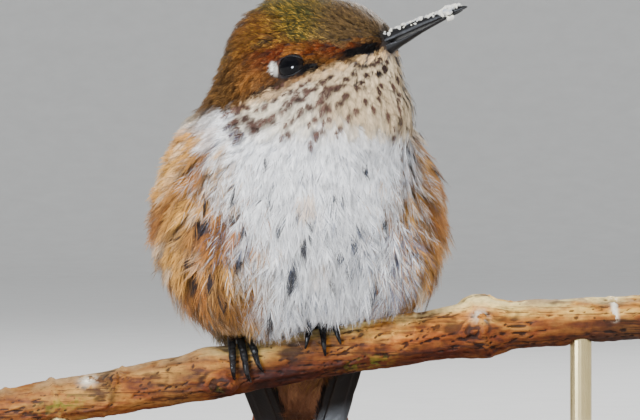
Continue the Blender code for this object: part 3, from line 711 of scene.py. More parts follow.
def spotted(points, colours, strands):
    """Colours with the gorget's spots over them; strands are small random shifts that fray the spots' edges."""
    colours = colours.copy()
    for spot in SPOTS:
        off = points - spot.place
        near = np.flatnonzero((off**2).sum(1) < 5.0)
        ahead, aside = off[near] @ spot.lie, off[near] @ np.cross(spot.normal, spot.lie)
        distance = np.hypot(ahead / spot.length, aside / spot.width) + strands[near]
        colours[near] = mix(colours[near], mix(SPOT, SPOT_PALE, spot.pale), step(1.30, 0.80, distance))
    return colours


def speck_at(points):
    """How far each point lies in the white spot behind an eye, 0 to 1."""
    head = into(HEAD, points)
    return blob(head[:, 1:], (-1.50, 0.62), (0.50, 0.80)) * step(6.0, 7.5, np.abs(head[:, 0]))


def patches(flat, table):
    """How far each point lies in any of a table's soft patches, times the patch's strength."""
    return np.maximum.reduce([strength * blob(flat, centre, radii) for centre, radii, strength in table])


# Soft patches of the head's side, fore-aft and up in the head's frame: centre, radii, strength
DUSKY_PATCHES = (((0.4, -1.3), (2.3, 0.6), 1.0), ((-2.7, -1.15), (2.3, 0.45), 1.0))
PALER_PATCHES = (((-4.4, 1.7), (1.5, 0.7), 1.0), ((2.2, 0.6), (1.7, 1.0), 1.0))
BLACK_PATCHES = (
    ((-5.45, -0.90), (1.20, 0.70), 1.0), ((-10.9, -0.70), (2.7, 0.85), 1.0),
    ((-8.2, -1.35), (1.6, 0.35), 0.55), ((-2.3, -0.62), (1.1, 0.5), 0.75),
)
RUFOUS_BAND = ((-10, -1.0), (-5, 0.9), (0, 1.2), (5, 1.0))  # its middle, as MALAR is given


def face_colour(y, z, side, mottle, fine, dusky):
    """The brown of the face and the nape, with its rufous band and its dusky and paler patches."""
    flat = np.stack([y, z], axis=1)
    tip = mix(EAR, NAPE, step(1.0, 6.5, y + 1.5 * mottle))
    band = step(-0.9, 0.6, z - under(RUFOUS_BAND, y)) * step(3.5, -1.0, y) * step(-11.0, -9.4, y)
    tip = mix(tip, RUFOUS, band * (0.8 + 0.2 * fine))
    dusk = np.maximum(patches(flat, DUSKY_PATCHES), 0.8 * step(0.30, 0.62, dusky) * step(6.0, 3.0, y))
    tip = mix(tip, DUSK, dusk * (0.80 + 0.30 * fine).clip(0, 1) * step(4.5, 6.5, side))
    return mix(tip, EAR * 1.65, 0.75 * patches(flat, PALER_PATCHES))


def markings(points):
    """What the plumage is like at some points.

    tip and down are the colours of a feather's end and base, glint how strongly painted glints show on its barbs, and
    other a colour that the share swap of its barbs has in place of tip.
    """
    head, body = into(HEAD, points), into(BODY, points)
    side, y, z = np.abs(head[:, 0]), head[:, 1], head[:, 2]
    fore, up = body[:, 1], body[:, 2]
    mottle = wavy(points, 0.42)
    fine = wavy(points, 1.3, 5.0)
    crisp = wavy(points, 2.6, 21.0)

    # the head
    edge = 0.35 * fine
    flat = np.stack([y, z], axis=1)
    tip = face_colour(y, z, side, mottle, fine, wavy(points, 0.95, 17.0))
    crown = step(-0.5, 0.5, z + 2.0 * edge + 0.5 * mottle - under(CROWN, y))
    green = mix(OLIVE, BRONZE, 0.5 + 0.5 * wavy(points, 0.3, 9.0))
    green = mix(green, FOREHEAD, step(-5.0, -8.5, y + mottle))
    sides = step(0.0, 4.0, y + 1.5 * (side - 3.6) + 0.8 * mottle)
    green = mix(green, mix(SIENNA, NAPE, step(2.0, 7.0, y)), 0.9 * sides)
    # a painted shadow: a dusky blob where the crown's feathers part
    green = mix(green, DUSK, blob(flat, (-0.9, 4.0), (1.3, 0.45)))
    tip = mix(tip, green, crown)
    # how strongly painted glints show on the crown
    glint = crown * (0.35 + 0.65 * bell(y, -3.6, 3.2) * step(2.0, 5.5, side + 1.5 * mottle))
    glint *= 0.85 * (1.0 - 0.70 * step(-6.0, -9.5, y)) * (1.0 - 0.45 * sides)
    black = patches(flat, BLACK_PATCHES) * step(1.2, 2.2, side)
    tip = mix(tip, LORES, np.maximum(black, 0.9 * step(-11.2, -12.2, y) * step(1.6, 0.9, z)))
    tip = mix(tip, SPECK, speck_at(points))

    # the throat and the gorget
    malar = z - under(MALAR, y)
    pale = step(0.30, -0.35, malar + edge) * step(11.5, 8.5, y) * step(5.0, 1.5, fore + 0.8 * mottle)
    cream = mix(BUFF, CREAM, np.clip(step(-10.5, -6.5, y - 0.5 * side) + 0.4 * mottle, 0, 1))
    cream = mix(cream, MALAR_BUFF, 0.7 * step(-1.2, -0.3, malar) * step(7.5, 5.0, y))
    cream = mix(cream, WHITE, step(58.8, 54.6, points[:, 2] + 0.8 * mottle + 0.15 * points[:, 0].clip(0, 8)))
    cream = mix(cream, WHITE, step(5.0, 7.0, y) * step(4.0, 6.0, side))

    # the breast and the flanks
    low = step(29.0, 26.0, up)
    aside = np.abs(body[:, 0] - under(BREAST_MIDDLE, up)) + 1.1 * mottle + 0.5 * fine + 3.5 * crisp
    border = aside / under(BREAST_WIDTH, up) + 0.45 * step(-4.0, 3.0, fore)
    flank = step(0.93, 1.07, border)
    warm = mix(CINNAMON, GOLD_BUFF, np.clip(0.5 + 0.9 * wavy(points, 0.2, 2.0), 0, 1))
    # dark umber patches over the flanks, more of them low down: painted shade where the feathers part
    brown = wavy(points, 0.75, 31.0) + 0.3 * crisp + 0.2 * step(15.0, 7.0, up)
    warm = mix(warm, UMBER, 0.75 * step(0.10, 0.45, brown))
    warm = mix(warm, CREAM, 0.45 * step(0.15, 0.5, wavy(points, 0.4, 41.0) + 0.3 * crisp))
    blush = step(0.35, 0.6, wavy(points, 0.35, 7.0)) * step(22.0, 17.0, up) * 0.45
    # the white is a little darker low on the belly: painted shade
    chest = mix(WHITE * (1.0 - 0.10 * step(16.0, 10.0, up))[:, None], GOLD_BUFF, blush)
    chest = mix(chest, warm, flank)
    other = mix(warm, ASH, (border > 1.0) * 1.0)
    swap = 0.45 * bell(border, 1.0, 0.22) * low * step(2.0, 5.0, up) * step(24.0, 20.0, up)

    # the back and the vent
    back = mix(BACK, OLIVE, np.clip(0.5 + 0.8 * fine, 0, 1))
    behind = step(2.6, 5.4, fore + 0.8 * mottle) * step(-1.0, 1.0, up + 3.0)
    chest = mix(chest, back, behind)
    vent = step(4.5, 1.0, up) * step(4.0, 8.0, fore) * step(15.0, 13.0, fore + 0.22 * up)
    chest = mix(chest, VENT, vent)
    pale_body = mix(cream, chest, low * step(57.0, 55.0, points[:, 2]))
    pale_body = mix(pale_body, mix(back, NAPE, 0.5 * step(57.0, 60.0, points[:, 2])), behind)
    tip = mix(tip, pale_body, np.maximum(pale, low))
    tip = mix(tip, chest, low * step(7.5, 9.5, y) * step(27.5, 25.5, up))
    glint = np.maximum(glint * (1 - pale) * (1 - low), 0.55 * behind * low)

    down = mix(tip * 0.28, DOWN, np.maximum(pale, low) * (1 - behind) * (1 - flank))
    down = mix(down, tip * 0.75, low * step(17.0, 20.0, up))
    down = mix(down, mix(FLANK_DOWN, UMBER, step(17.0, 20.0, up)), flank * low * (1 - behind))
    return {"tip": tip, "down": down, "glint": glint, "other": other, "swap": swap * (1 - behind)}


SPOTS = make_spots()


# ---- The coat -----------------------------------------------------------------------------------------

SHAFT = 6  # points along a feather's shaft
BARB_POINTS = 5  # two at a barb's foot, two in its middle and one at its tip
RIB_PLACES = (0, 2, 4, 5)  # which of the shaft's points its visible rib has
RIB_WIDTHS = (0.09, 0.07, 0.045, 0.015)
TRIES = 5.0  # places that are drawn for each feather there's room for
CROWDING = 0.76  # spacing of the feathers, against what FIELDS says


def scatter(rng):
    """Roots spread over the skin as close as each region says, in random order: (points, corner weights, faces)."""
    a, b, c = (SKIN[SKIN_FACES[:, k]] for k in range(3))
    area = 0.5 * np.linalg.norm(np.cross(b - a, c - a), axis=1)
    spacing = fields((a + b + c) / 3)[:, 1] * CROWDING
    weight = area / spacing**2
    count = int(TRIES * weight.sum())
    face = rng.choice(len(area), count, p=weight / weight.sum())
    u, v = rng.random((2, count))
    past = u + v > 1
    u, v = np.where(past, 1 - u, u), np.where(past, 1 - v, v)
    shares = np.stack([1 - u - v, u, v], axis=1)
    points = (SKIN[SKIN_FACES[face]] * shares[:, :, None]).sum(1)
    reach = spacing[face]
    size = spacing.max()
    cells, kept = {}, []
    keys = np.floor(points / size).astype(int).tolist()
    rows, spans = points.tolist(), (reach**2).tolist()
    around = [(i, j, k) for i in (-1, 0, 1) for j in (-1, 0, 1) for k in (-1, 0, 1)]
    for index, (i, j, k) in enumerate(keys):
        x, y, z = rows[index]
        span = spans[index]
        free = True
        for di, dj, dk in around:
            for px, py, pz in cells.get((i + di, j + dj, k + dk), ()):
                if (px - x) ** 2 + (py - y) ** 2 + (pz - z) ** 2 < span:
                    free = False
                    break
            if not free:
                break
        if free:
            cells.setdefault((i, j, k), []).append((x, y, z))
            kept.append(index)
    return points[kept], shares[kept], face[kept]


def turned(direction, normal, angle):
    """Directions turned about their normals."""
    cos, sin = np.cos(angle)[:, None], np.sin(angle)[:, None]
    return direction * cos + np.cross(normal, direction) * sin


def follow_skin(roots, angle, length):
    """The shafts' feet along the skin: (points, normals), SHAFT of each, from the roots on."""
    places, ups = [], []
    here = roots
    for k in range(SHAFT):
        if k:
            moved = here + turned(FLOW[near], up, angle) * (length / (SHAFT - 1))[:, None]
            here = np.array([SKIN_TREE.find_nearest(p)[0] for p in moved.tolist()])
        near = np.array([NEAR_SKIN.find(p)[1] for p in here])
        up = unit(SKIN_NORMALS[near])
        places.append(here)
        ups.append(up)
    return np.stack(places, axis=1), np.stack(ups, axis=1)


def vanes(rng, shaft, normal, length, width, loose, barbs, thick=1.0):
    """Feathers built barb by barb, the last blades of the list being their shafts.

    Returns their points and triangles, and for each point how far along and across its feather it lies, and which
    feather and which blade it belongs to.
    """
    count, sides = len(shaft), 2
    t = (np.arange(barbs) + 0.5) / barbs
    t = 0.06 + 0.94 * t**0.9
    t = np.clip(t[None, None, :] + rng.normal(0, 0.25 / barbs, (count, sides, barbs)), 0.02, 1.0)

    def on_shaft(values, where):
        """Values of the shafts' points, at places between them."""
        place = where * (SHAFT - 1)
        low = np.minimum(place.astype(int), SHAFT - 2)
        share = (place - low)[..., None]
        rows = np.arange(count)[:, None, None]
        return values[rows, low] * (1 - share) + values[rows, low + 1] * share

    tangent = unit(np.gradient(shaft, axis=1))
    base, up, ahead = on_shaft(shaft, t), unit(on_shaft(normal, t)), unit(on_shaft(tangent, t))
    sign = np.array((-1.0, 1.0))[None, :, None]
    beside = np.cross(up, ahead) * sign[..., None]
    wide, long, soft = (v[:, None, None] for v in (width, length, loose))
    outline = np.sin(np.pi * np.clip(0.10 + 0.84 * t, 0, 1)) ** 0.7
    # the barbs' angle to the shaft, from the feather's foot to its tip
    opening = np.radians((52 - 26 * soft) * (1 - t) + (24 - 10 * soft) * t)
    opening = opening * rng.normal(1.0, 0.06 + 0.14 * soft, t.shape)
    # their length: out to the feather's outline, but near the tip no more than a share of the feather's
    reach = wide * outline / np.sin(np.maximum(opening * 0.8, 0.12))
    reach = np.minimum(reach, long * (0.20 + 0.42 * (1 - t) + 0.16 * soft))
    reach = reach * (1.0 + (0.05 + 0.22 * soft) * rng.normal(0, 1, t.shape).clip(-1.5, 1.5))
    sag = rng.normal(0, 0.5, t.shape) * (0.02 + 0.10 * soft)

    def out(share, bend):
        """Places on the barbs at a share of their length: (points, along, across the feather)."""
        turn = opening * bend
        forward, lateral = reach * share * np.cos(turn), reach * share * np.sin(turn)
        fall = -0.10 * (lateral / wide) ** 2 * wide + sag * share**2
        place = base + ahead * forward[..., None] + beside * lateral[..., None] + up * fall[..., None]
        return place, t + forward / long, lateral / wide * sign

    mid, mid_along, mid_across = out(0.55, 1.12)
    end, end_along, end_across = out(1.0, 0.86)
    stride = long / barbs * np.sin(opening)
    half = 0.5 * thick * np.clip(stride * 1.25, 0.035, 0.11)  # half the width of a barb, in mm
    first = unit(np.cross(up, mid - base)) * half[..., None]
    second = unit(np.cross(up, end - mid)) * half[..., None] * 0.82
    rows = np.stack([base - first, base + first, mid - second, mid + second, end], axis=3)
    zero = np.zeros_like(t)
    along = np.stack([t, t, mid_along, mid_along, end_along], axis=3)
    across = np.stack([zero, zero, mid_across, mid_across, end_across], axis=3)
    points = rows.reshape(-1, 3)
    blades = count * sides * barbs
    blade = np.repeat(np.arange(blades), BARB_POINTS)
    start = np.arange(blades)[:, None] * BARB_POINTS
    faces = np.concatenate([start + np.array(f) for f in ((0, 3, 1), (0, 2, 3), (2, 4, 3))])

    # the shaft itself
    keep = np.array(RIB_PLACES)
    line, line_up, line_ahead = shaft[:, keep], normal[:, keep], tangent[:, keep]
    thin = 0.5 * thick * np.array(RIB_WIDTHS)[None, :, None]
    flank = unit(np.cross(line_up, line_ahead)) * thin
    lifted = line + line_up * 0.015
    more = np.stack([lifted - flank, lifted + flank], axis=2).reshape(-1, 3)
    rib_points = 2 * len(keep)
    rib = (np.arange(count) * rib_points)[:, None, None] + (np.arange(len(keep) - 1) * 2)[None, :, None] + len(points)
    rib_faces = np.concatenate([(rib + np.array(f)).reshape(-1, 3) for f in ((0, 3, 1), (0, 2, 3))])
    return {
        "points": np.concatenate([points, more]),
        "faces": np.concatenate([faces, rib_faces]),
        "along": np.concatenate([along.ravel(), np.repeat(np.tile(keep / (SHAFT - 1), count), 2)]),
        "across": np.concatenate([across.ravel(), np.zeros(len(more))]),
        "feather": np.repeat(np.concatenate([np.arange(count), np.arange(count)]),
                             np.repeat((sides * barbs * BARB_POINTS, rib_points), count)),
        "blade": np.concatenate([blade, np.repeat(blades + np.arange(count), rib_points)]),
    }


def on_line(line, places, at):
    """The points of a line, which has its points at some places, at other places."""
    return np.stack([np.interp(at, places, line[:, k]) for k in range(3)], axis=-1)


def off_line(points, line, radii, gap):
    """Points moved out of a nearly straight rod, given by its middle line and radii."""
    axis = unit(line[-1] - line[0])
    along = (points - line[0]) @ axis
    places = (line - line[0]) @ axis
    near = (along > places[0]) & (along < places[-1])
    off = points - on_line(line, places, along)
    off -= (off @ axis)[:, None] * axis
    distance = np.linalg.norm(off, axis=1)
    wanted = np.interp(along, places, radii) + gap
    inside = near & (distance < wanted)
    points = points.copy()
    points[inside] += (off * ((wanted - distance) / np.maximum(distance, 1e-6))[:, None])[inside]
    return points


def off_eye(points, side):
    """Points moved out of the opening between the lids."""
    middle, outward, forward, upward = EYES[side]
    length, height = LID_LENGTH + LID_RIM, LID_HEIGHT + LID_RIM
    off = points - middle
    level = off @ outward
    x, z = off @ forward / length, off @ upward / height
    distance = np.hypot(x, z)
    inside = (level > 0) & (level < 5.0) & (distance < 1.0)
    push = (1.0 - distance) / np.maximum(distance, 1e-3)
    move = forward * (x * push * length)[:, None] + upward * (z * push * height)[:, None]
    points = points.copy()
    points[inside] += move[inside]
    return points


PERCH_LINE, PERCH_RADII = line_of(node_mesh("perch")[0], 24, np.array((1.0, 0.0, 0.0)))
BILL_LINE, BILL_RADII = line_of(node_mesh("bill_upper", "bill_lower")[0], 8)
BILL_CLEAR = np.minimum(BILL_RADII, 1.15)  # how far from the bill's middle line feathers keep
WINGS = tree_of(*node_mesh("wing_left", "wing_right"))


def clear(points):
    """Points kept out of the eyes, the bill and the perch."""
    for side in SIDES:
        points = off_eye(points, side)
    points = off_line(points, BILL_LINE, BILL_CLEAR, 0.03)
    return off_line(points, PERCH_LINE, PERCH_RADII * 0.97, 0.02)


def under_wings(feet, ups):
    """How far it is from points of the skin to the wing that covers them."""
    far = np.full(feet.shape[:2], np.inf)
    for i in np.flatnonzero(into(BODY, feet[:, 0])[:, 1] > -1.0):
        for k in range(feet.shape[1]):
            found = WINGS.ray_cast(Vector(feet[i, k]), Vector(ups[i, k]), 7.0)
            if found[3] is not None:
                far[i, k] = found[3]
    return far


def plume(name, roughness, sheen=0.04, metallic=0.0, gloss=0.2):
    """Feathers: their own colours, with fine streaks along the barbs."""
    n = Nodes(name)
    streak = n.noise(n.place(), (2600, 2600, 900), 2.0)
    return n.finish(
        base_color=n.shade(n.attribute("tint"), n.ramp(streak, (0.25, 0.78), (0.75, 1.22))),
        roughness=roughness, metallic=metallic, sheen_weight=sheen, sheen_roughness=0.4, specular_ior_level=gloss,
        normal=n.bump(streak, 0.25, 0.0001),
    )


def unwrap_skin(obj):
    """Unfolds the skin's own shape into the map that the coat's patches lie in: one place for each corner."""
    bpy.context.view_layer.objects.active = obj
    obj.select_set(True)
    obj.data.uv_layers.new(name="OFBake")
    bpy.ops.object.mode_set(mode="EDIT")
    bpy.ops.mesh.select_all(action="SELECT")
    bpy.ops.uv.smart_project(angle_limit=math.radians(60), island_margin=0.004)
    bpy.ops.object.mode_set(mode="OBJECT")
    obj.select_set(False)
    places = np.empty(len(obj.data.loops) * 2, np.float32)
    obj.data.uv_layers["OFBake"].data.foreach_get("uv", places)
    return places.reshape(-1, 3, 2)


PATCH = 0.003  # size of each feather's patch in the skin's map


def coat_mesh(name, made, colours, home):
    """A mesh of feathers with its colours and its map. home is each feather's place in the skin's map."""
    data = mesh_of(name, made["points"], made["faces"])
    tint(data, colours)
    local = np.stack([0.5 * made["across"].clip(-1, 1), made["along"].clip(0, 1) - 0.5], axis=1) * PATCH
    places = (home[made["feather"]] + local)[made["faces"].ravel()]
    layer = data.uv_layers.new(name="OFBake")
    layer.data.foreach_set("uv", places.astype(np.float32).ravel())
    return data


def paint(rng, made, look, contrast=1.0, frost=0.0):
    """The colour of each point of some feathers: down at the base, then the tip's colour, varied barb by barb, with
    painted glints.
    """
    feather, blade = made["feather"], made["blade"]
    tip, down, glint, other, swap = (look[key] for key in ("tip", "down", "glint", "other", "swap"))
    blades = blade.max() + 1
    vary = np.exp(rng.normal(0, 0.06, len(tip)) * contrast)
    strand = np.exp(rng.normal(0, 1.0, blades) * (0.10 * contrast))
    where = made["along"] + rng.normal(0, 0.07, blades)[blade]
    share = step(0.16, 0.50, where + 0.1 * np.abs(made["across"]))
    swapped = rng.random(blades)[blade] < swap[feather]
    colours = mix(down[feather], np.where(swapped[:, None], other[feather], tip[feather]), share)
    if frost:
        light = step(0.006, 0.03, tip.mean(1))[feather]
        pale = light * step(0.72, 1.0, where) * step(0.35, 0.8, rng.random(blades)[blade])
        colours = mix(colours, FROST, frost * pale)
    # painted glints: gold and bronze barbs, with darker barbs between them
    flash = rng.random(blades)[blade]
    shine = glint[feather] * share
    colours = mix(colours, colours * 0.45, shine * step(0.55, 0.2, flash))
    colours = mix(colours, GOLD, shine * step(0.72, 0.90, flash) * (0.4 + 0.6 * step(0.4, 0.8, where)))
    colours = mix(colours, BRONZE * 1.2, 0.5 * shine * step(0.30, 0.36, flash) * step(0.60, 0.50, flash))
    return colours * (vary[feather] * strand[blade])[:, None]


def label_of(roots):
    """The name of the coat piece that each root belongs to."""
    head, body = into(HEAD, roots), into(BODY, roots)
    names = np.full(len(roots), "crown", dtype="<U12")
    names[head[:, 2] < under(CROWN, head[:, 1]) + 0.5] = "face"
    names[head[:, 1] > 5.0] = "nape"
    names[(head[:, 2] < under(MALAR, head[:, 1])) & (head[:, 1] < 9.0)] = "throat"
    low = body[:, 2] < 26.5
    names[low] = "breast"
    names[low & (body[:, 2] < 13.0)] = "belly"
    wide = (body[:, 0] - under(BREAST_MIDDLE, body[:, 2])) / under(BREAST_WIDTH, body[:, 2])
    names[low & (wide > 0.97)] = "flank_left"
    names[low & (wide < -0.97)] = "flank_right"
    names[low & (body[:, 1] > 3.5)] = "back"
    names[low & (body[:, 1] > 3.5) & (body[:, 2] < 6.0)] = "rump"
    return names


# How much the barbs of a piece differ in tone
CONTRAST = {"crown": 2.2, "face": 2.8, "nape": 2.4, "flank_left": 1.8, "flank_right": 1.8, "back": 1.5}

# How strong the pale ends of some barbs are
FROSTED = {"face": 0.16, "nape": 0.22, "crown": 0.05, "flank_left": 0.25, "flank_right": 0.25}

# Openings between the barbs of the belly and the flanks, whose barbs get painted shade, in the row frame: x, z, half
# width, half height
OPENINGS = (
    (-3.1, 40.6, 0.35, 1.35), (-1.9, 43.3, 0.25, 1), (-3.4, 38.8, 0.25, 0.5), (-9.3, 41.9, 0.28, 0.9),
    (-8.6, 45.5, 0.28, 0.7), (-13.2, 48.5, 0.32, 0.7), (-13.7, 45.8, 0.8, 0.9), (-10, 49.9, 0.3, 0.6),
    (-9.8, 48.5, 0.25, 0.5), (-9.9, 46.7, 0.3, 0.5), (-16.2, 44.8, 0.6, 0.25), (-14.4, 39.6, 0.4, 0.9),
    (-12.5, 39.6, 0.3, 1), (-4.7, 45.7, 0.22, 0.6), (-6.8, 48.6, 0.18, 0.4), (-2.6, 47.3, 0.2, 0.6),
    (-1.2, 45.5, 0.2, 0.7), (1.7, 49, 0.18, 0.5), (2.5, 48.7, 0.18, 0.4), (5.2, 52.2, 0.2, 0.6),
    (3.9, 43.9, 0.25, 0.7), (4.6, 45.5, 0.2, 0.6), (7.3, 46.2, 0.22, 0.7), (2.3, 42.4, 0.35, 0.35),
    (3.1, 40.9, 0.18, 0.45), (1.4, 39.4, 0.3, 0.45), (11, 42.9, 0.18, 0.5), (9.3, 46.6, 0.4, 0.3),
    (-6.1, 53, 0.18, 0.5), (-12.6, 51.9, 0.3, 0.3), (-5.7, 34.9, 0.3, 0.7), (-11, 37, 0.3, 0.6),
    (-15.2, 42, 0.3, 0.6), (6, 38, 0.25, 0.5), (8.6, 42, 0.2, 0.6),
)


# The lower edge of the plumage in front of the twig, in the row frame: x, z
HANGING = (
    (-18.0, 29.0), (-12.5, 33.4), (-10.4, 33.9), (-8.0, 33.8), (-6.6, 33.4), (-4.3, 33.2), (-3.2, 34.4),
    (-2.0, 36.4), (2.8, 36.4), (5.1, 36.4), (9.8, 36.9), (12.2, 37.0), (16.0, 37.0),
)

# A spot's own feather: how far behind the spot's middle its root lies, its length and its half width, all as
# shares of the spot's half length and half width
SPOT_ROOT, SPOT_LENGTH, SPOT_WIDTH = 1.1, 2.3, 1.25
WING_GAP = 0.35  # how far under a wing the coat stays
THICKNESS = 0.88  # how thick its barbs are, against those of the wings' coverts

# How many barbs a feather has on each side, up to which length in mm
BARB_COUNTS = ((1.1, 12), (1.6, 16), (2.4, 20), (3.4, 24), (4.4, 29), (math.inf, 34))


def opening_shade_at(points):
    """How far each point lies in one of the openings that get painted shade, 0 to 1."""
    found = np.zeros(len(points))
    front = into(BODY, points)[:, 1] < 1.0
    for x, z, wide, high in OPENINGS:
        away = np.hypot((points[:, 0] - x) / (1.3 * wide), (points[:, 2] - z) / (1.15 * high))
        found = np.maximum(found, step(1.3, 0.6, away))
    return found * front


def cut_to_hang(rng, shaft, length):
    """Shafts and lengths, cut so that none hangs over the front of the twig lower than in the photo."""
    tip, root = shaft[:, -1], shaft[:, 0]
    limit = under(HANGING, tip[:, 0]) - rng.uniform(-0.3, 0.5, len(shaft))
    before = tip[:, 1] < np.interp(tip[:, 0], PERCH_LINE[:, 0], PERCH_LINE[:, 1]) + 1.0
    share = np.clip((root[:, 2] - limit) / np.maximum(root[:, 2] - tip[:, 2], 0.05), 0.25, 1.0)
    share = np.where(before & (tip[:, 2] < limit), share, 1.0)
    return root[:, None] + (shaft - root[:, None]) * share[:, None, None], length * share


def strand_colours(rng, label, made, shade):
    """Colours of a piece's barbs with its spots, painted shade in its openings and thin gaps, and bluish streaks,
    partly the grey down and partly painted shade.
    """
    points, blade = made["points"], made["blade"]
    blades = blade.max() + 1
    strands = rng.normal(0, 0.10, blades)[blade]
    root = np.unique(blade, return_index=True)[1]
    place = points[root]
    if label in ("throat", "breast", "face"):
        shade = spotted(points, shade, strands)
    if label == "face":
        shade = mix(shade, SPECK, speck_at(points + 0.5 * strands[:, None]))
    if label in ("belly", "breast", "flank_left", "flank_right"):
        # painted shade: barbs in the openings are made nearly black
        dark = rng.random(blades) < 1.1 * opening_shade_at(points[root + 2])
        shade = mix(shade, OPENING_SHADE, 0.95 * dark[blade])
    if label in ("flank_left", "flank_right"):
        low = step(2.0, -2.0, place[:, 0]) * step(46.0, 40.0, place[:, 2])
        brown = rng.random(blades) < 0.07 + 0.16 * step(0.0, 0.5, wavy(place, 0.35, 51.0)) + 0.10 * low
        shade = mix(shade, FLANK_STREAK, 0.72 * brown[blade])
    if label in ("belly", "breast"):
        cloud = wavy(place, 0.22, 14.0)
        grey = step(4.0, 9.0, place[:, 0]) * step(49.0, 45.0, place[:, 2])
        # bluish streaks between the white barbs: partly the grey down showing, partly painted shade
        streaked = rng.random(blades) < 0.05 + 0.24 * step(-0.05, 0.5, cloud) + 0.32 * grey
        shade = mix(shade, DOWN_AND_SHADE_STREAK, 0.75 * streaked[blade])
        low = step(50.0, 46.0, place[:, 2])
        # painted shade: thin dark gaps between the strands
        thin = rng.random(blades) < 0.012 + 0.04 * step(0.1, 0.6, cloud) * low + 0.06 * grey
        shade = mix(shade, OPENING_SHADE, 0.85 * thin[blade])
    return shade


def make_coat(rng, homes):
    """Contour feathers all over the skin, as one piece for each part of the body.

    After the feathers that are spread over the skin, at plain, comes one small flat feather for each spot.
    """
    roots, shares, faces = scatter(rng)
    plain = len(roots)
    found = [SKIN_TREE.find_nearest(Vector(spot.place - spot.lie * spot.length * SPOT_ROOT)) for spot in SPOTS]
    roots = np.concatenate([roots, [np.array(hit[0]) for hit in found]])
    shares = np.concatenate([shares, np.full((len(found), 3), 1 / 3)])
    faces = np.concatenate([faces, [hit[2] for hit in found]])
    depth, _, length, width, lift, loose = fields(roots).T
    width[plain:] = [SPOT_WIDTH * spot.width for spot in SPOTS]
    lift[plain:], loose[plain:] = 0.0, 0.15
    angle = rng.normal(0, 1, len(roots)) * (0.10 + 0.14 * loose)
    length = length * rng.normal(1.0, 0.12, len(roots)).clip(0.7, 1.35)
    length[plain:], angle[plain:] = [SPOT_LENGTH * spot.length for spot in SPOTS], 0.0
    feet, ups = follow_skin(roots, angle, length)
    cover = under_wings(feet, ups)
    t = np.linspace(0, 1, SHAFT)[None, :]
    full = depth * rng.normal(0.90, 0.12, len(roots)).clip(0.55, 1.15)
    proud = lift * rng.exponential(0.6, len(roots)).clip(0, 2.5)
    rise = full[:, None] * (0.10 + 0.78 * t**0.8) + proud[:, None] * t**2.2
    rise[plain:] = depth[plain:, None] * 0.98 + 0.17 * t
    rise = np.minimum(rise, np.maximum(cover - WING_GAP, 0.05))
    shaft, length = cut_to_hang(rng, feet + ups * rise[..., None], length)

    dropped = np.isfinite(cover[:, 0]) & np.isfinite(cover[:, -1]) & (cover[:, 2] < 2.5)  # hidden by a wing
    for side in SIDES:
        dropped |= np.linalg.norm(off_eye(roots, side) - roots, axis=1) > 0
    dropped |= np.linalg.norm(off_line(roots, BILL_LINE, BILL_CLEAR, 0.0) - roots, axis=1) > 0

    look = markings(shaft[:, 4])
    for key in ("tip", "down"):
        look[key][plain:] = [mix(SPOT, SPOT_PALE, 0.85 * spot.pale) for spot in SPOTS]
    home = (homes[faces] * shares[:, :, None]).sum(1)
    labels = label_of(roots)
    labels[dropped] = ""
    barbs = np.select([length < most for most, _ in BARB_COUNTS], [many for _, many in BARB_COUNTS])
    materials = {
        "crown": plume("crown_plumage", 0.40, metallic=0.30),
        "nape": plume("nape_plumage", 0.52, 0.02, metallic=0.12, gloss=0.1),
        "face": plume("face_plumage", 0.65, 0.0, gloss=0.08),
        "back": plume("back_plumage", 0.40, metallic=0.30),
    }
    soft = plume("soft_plumage", 0.75, 0.1)
    for label in sorted(set(labels) - {""}):
        parts, colours, ids = [], [], []
        for many in sorted(set(barbs[labels == label])):
            chosen = np.flatnonzero((labels == label) & (barbs == many))
            drawn = (values[chosen] for values in (shaft, ups, length, width, loose))
            made = vanes(rng, *drawn, many, THICKNESS)
            made["points"] = clear(made["points"])
            own = {key: values[chosen] for key, values in look.items()}
            shade = paint(rng, made, own, CONTRAST.get(label, 1.0), FROSTED.get(label, 0.0))
            colours.append(strand_colours(rng, label, made, shade))
            made["feather"] = made["feather"] + sum(len(i) for i in ids)
            made["faces"] = made["faces"] + sum(len(part["points"]) for part in parts)
            parts.append(made)
            ids.append(chosen)
        whole = {key: np.concatenate([part[key] for part in parts]) for key in parts[0]}
        data = coat_mesh(f"coat_{label}", whole, np.concatenate(colours), home[np.concatenate(ids)])
        piece(f"coat_{label}", data, materials.get(label, soft))


def make_body():
    """The skin, with the coat's markings, and the coat over it."""
    data = mesh_of("skin", SKIN, SKIN_FACES)
    look = markings(SKIN)
    tint(data, spotted(SKIN, mix(look["down"], look["tip"], 0.35), np.zeros(len(SKIN))))
    n = Nodes("skin_down")
    fluff = n.noise(n.place(), 2400.0, 4.0)
    shade = n.shade(n.attribute("tint"), n.ramp(fluff, (0.3, 0.7), (0.7, 1.2)))
    n.finish(base_color=shade, roughness=0.9, normal=n.bump(fluff, 0.6, 0.0003))
    skin = piece("skin", data, n.material, replaces=("head", "neck", "trunk"))
    make_coat(np.random.default_rng(SEED), unwrap_skin(skin))


# ---- Sheets, tubes and grids --------------------------------------------------------------------------


def grid_faces(rows, columns, ring=False):
    """Triangles between the points of a grid, row by row; a ring joins its last column to its first."""
    i = np.arange(rows - 1)[:, None] * columns
    j = np.arange(columns if ring else columns - 1)[None, :]
    k = (j + 1) % columns
    quads = np.stack([i + j, i + k, i + columns + k, i + columns + j], axis=2).reshape(-1, 4)
    return np.concatenate([quads[:, [0, 1, 2]], quads[:, [0, 2, 3]]])


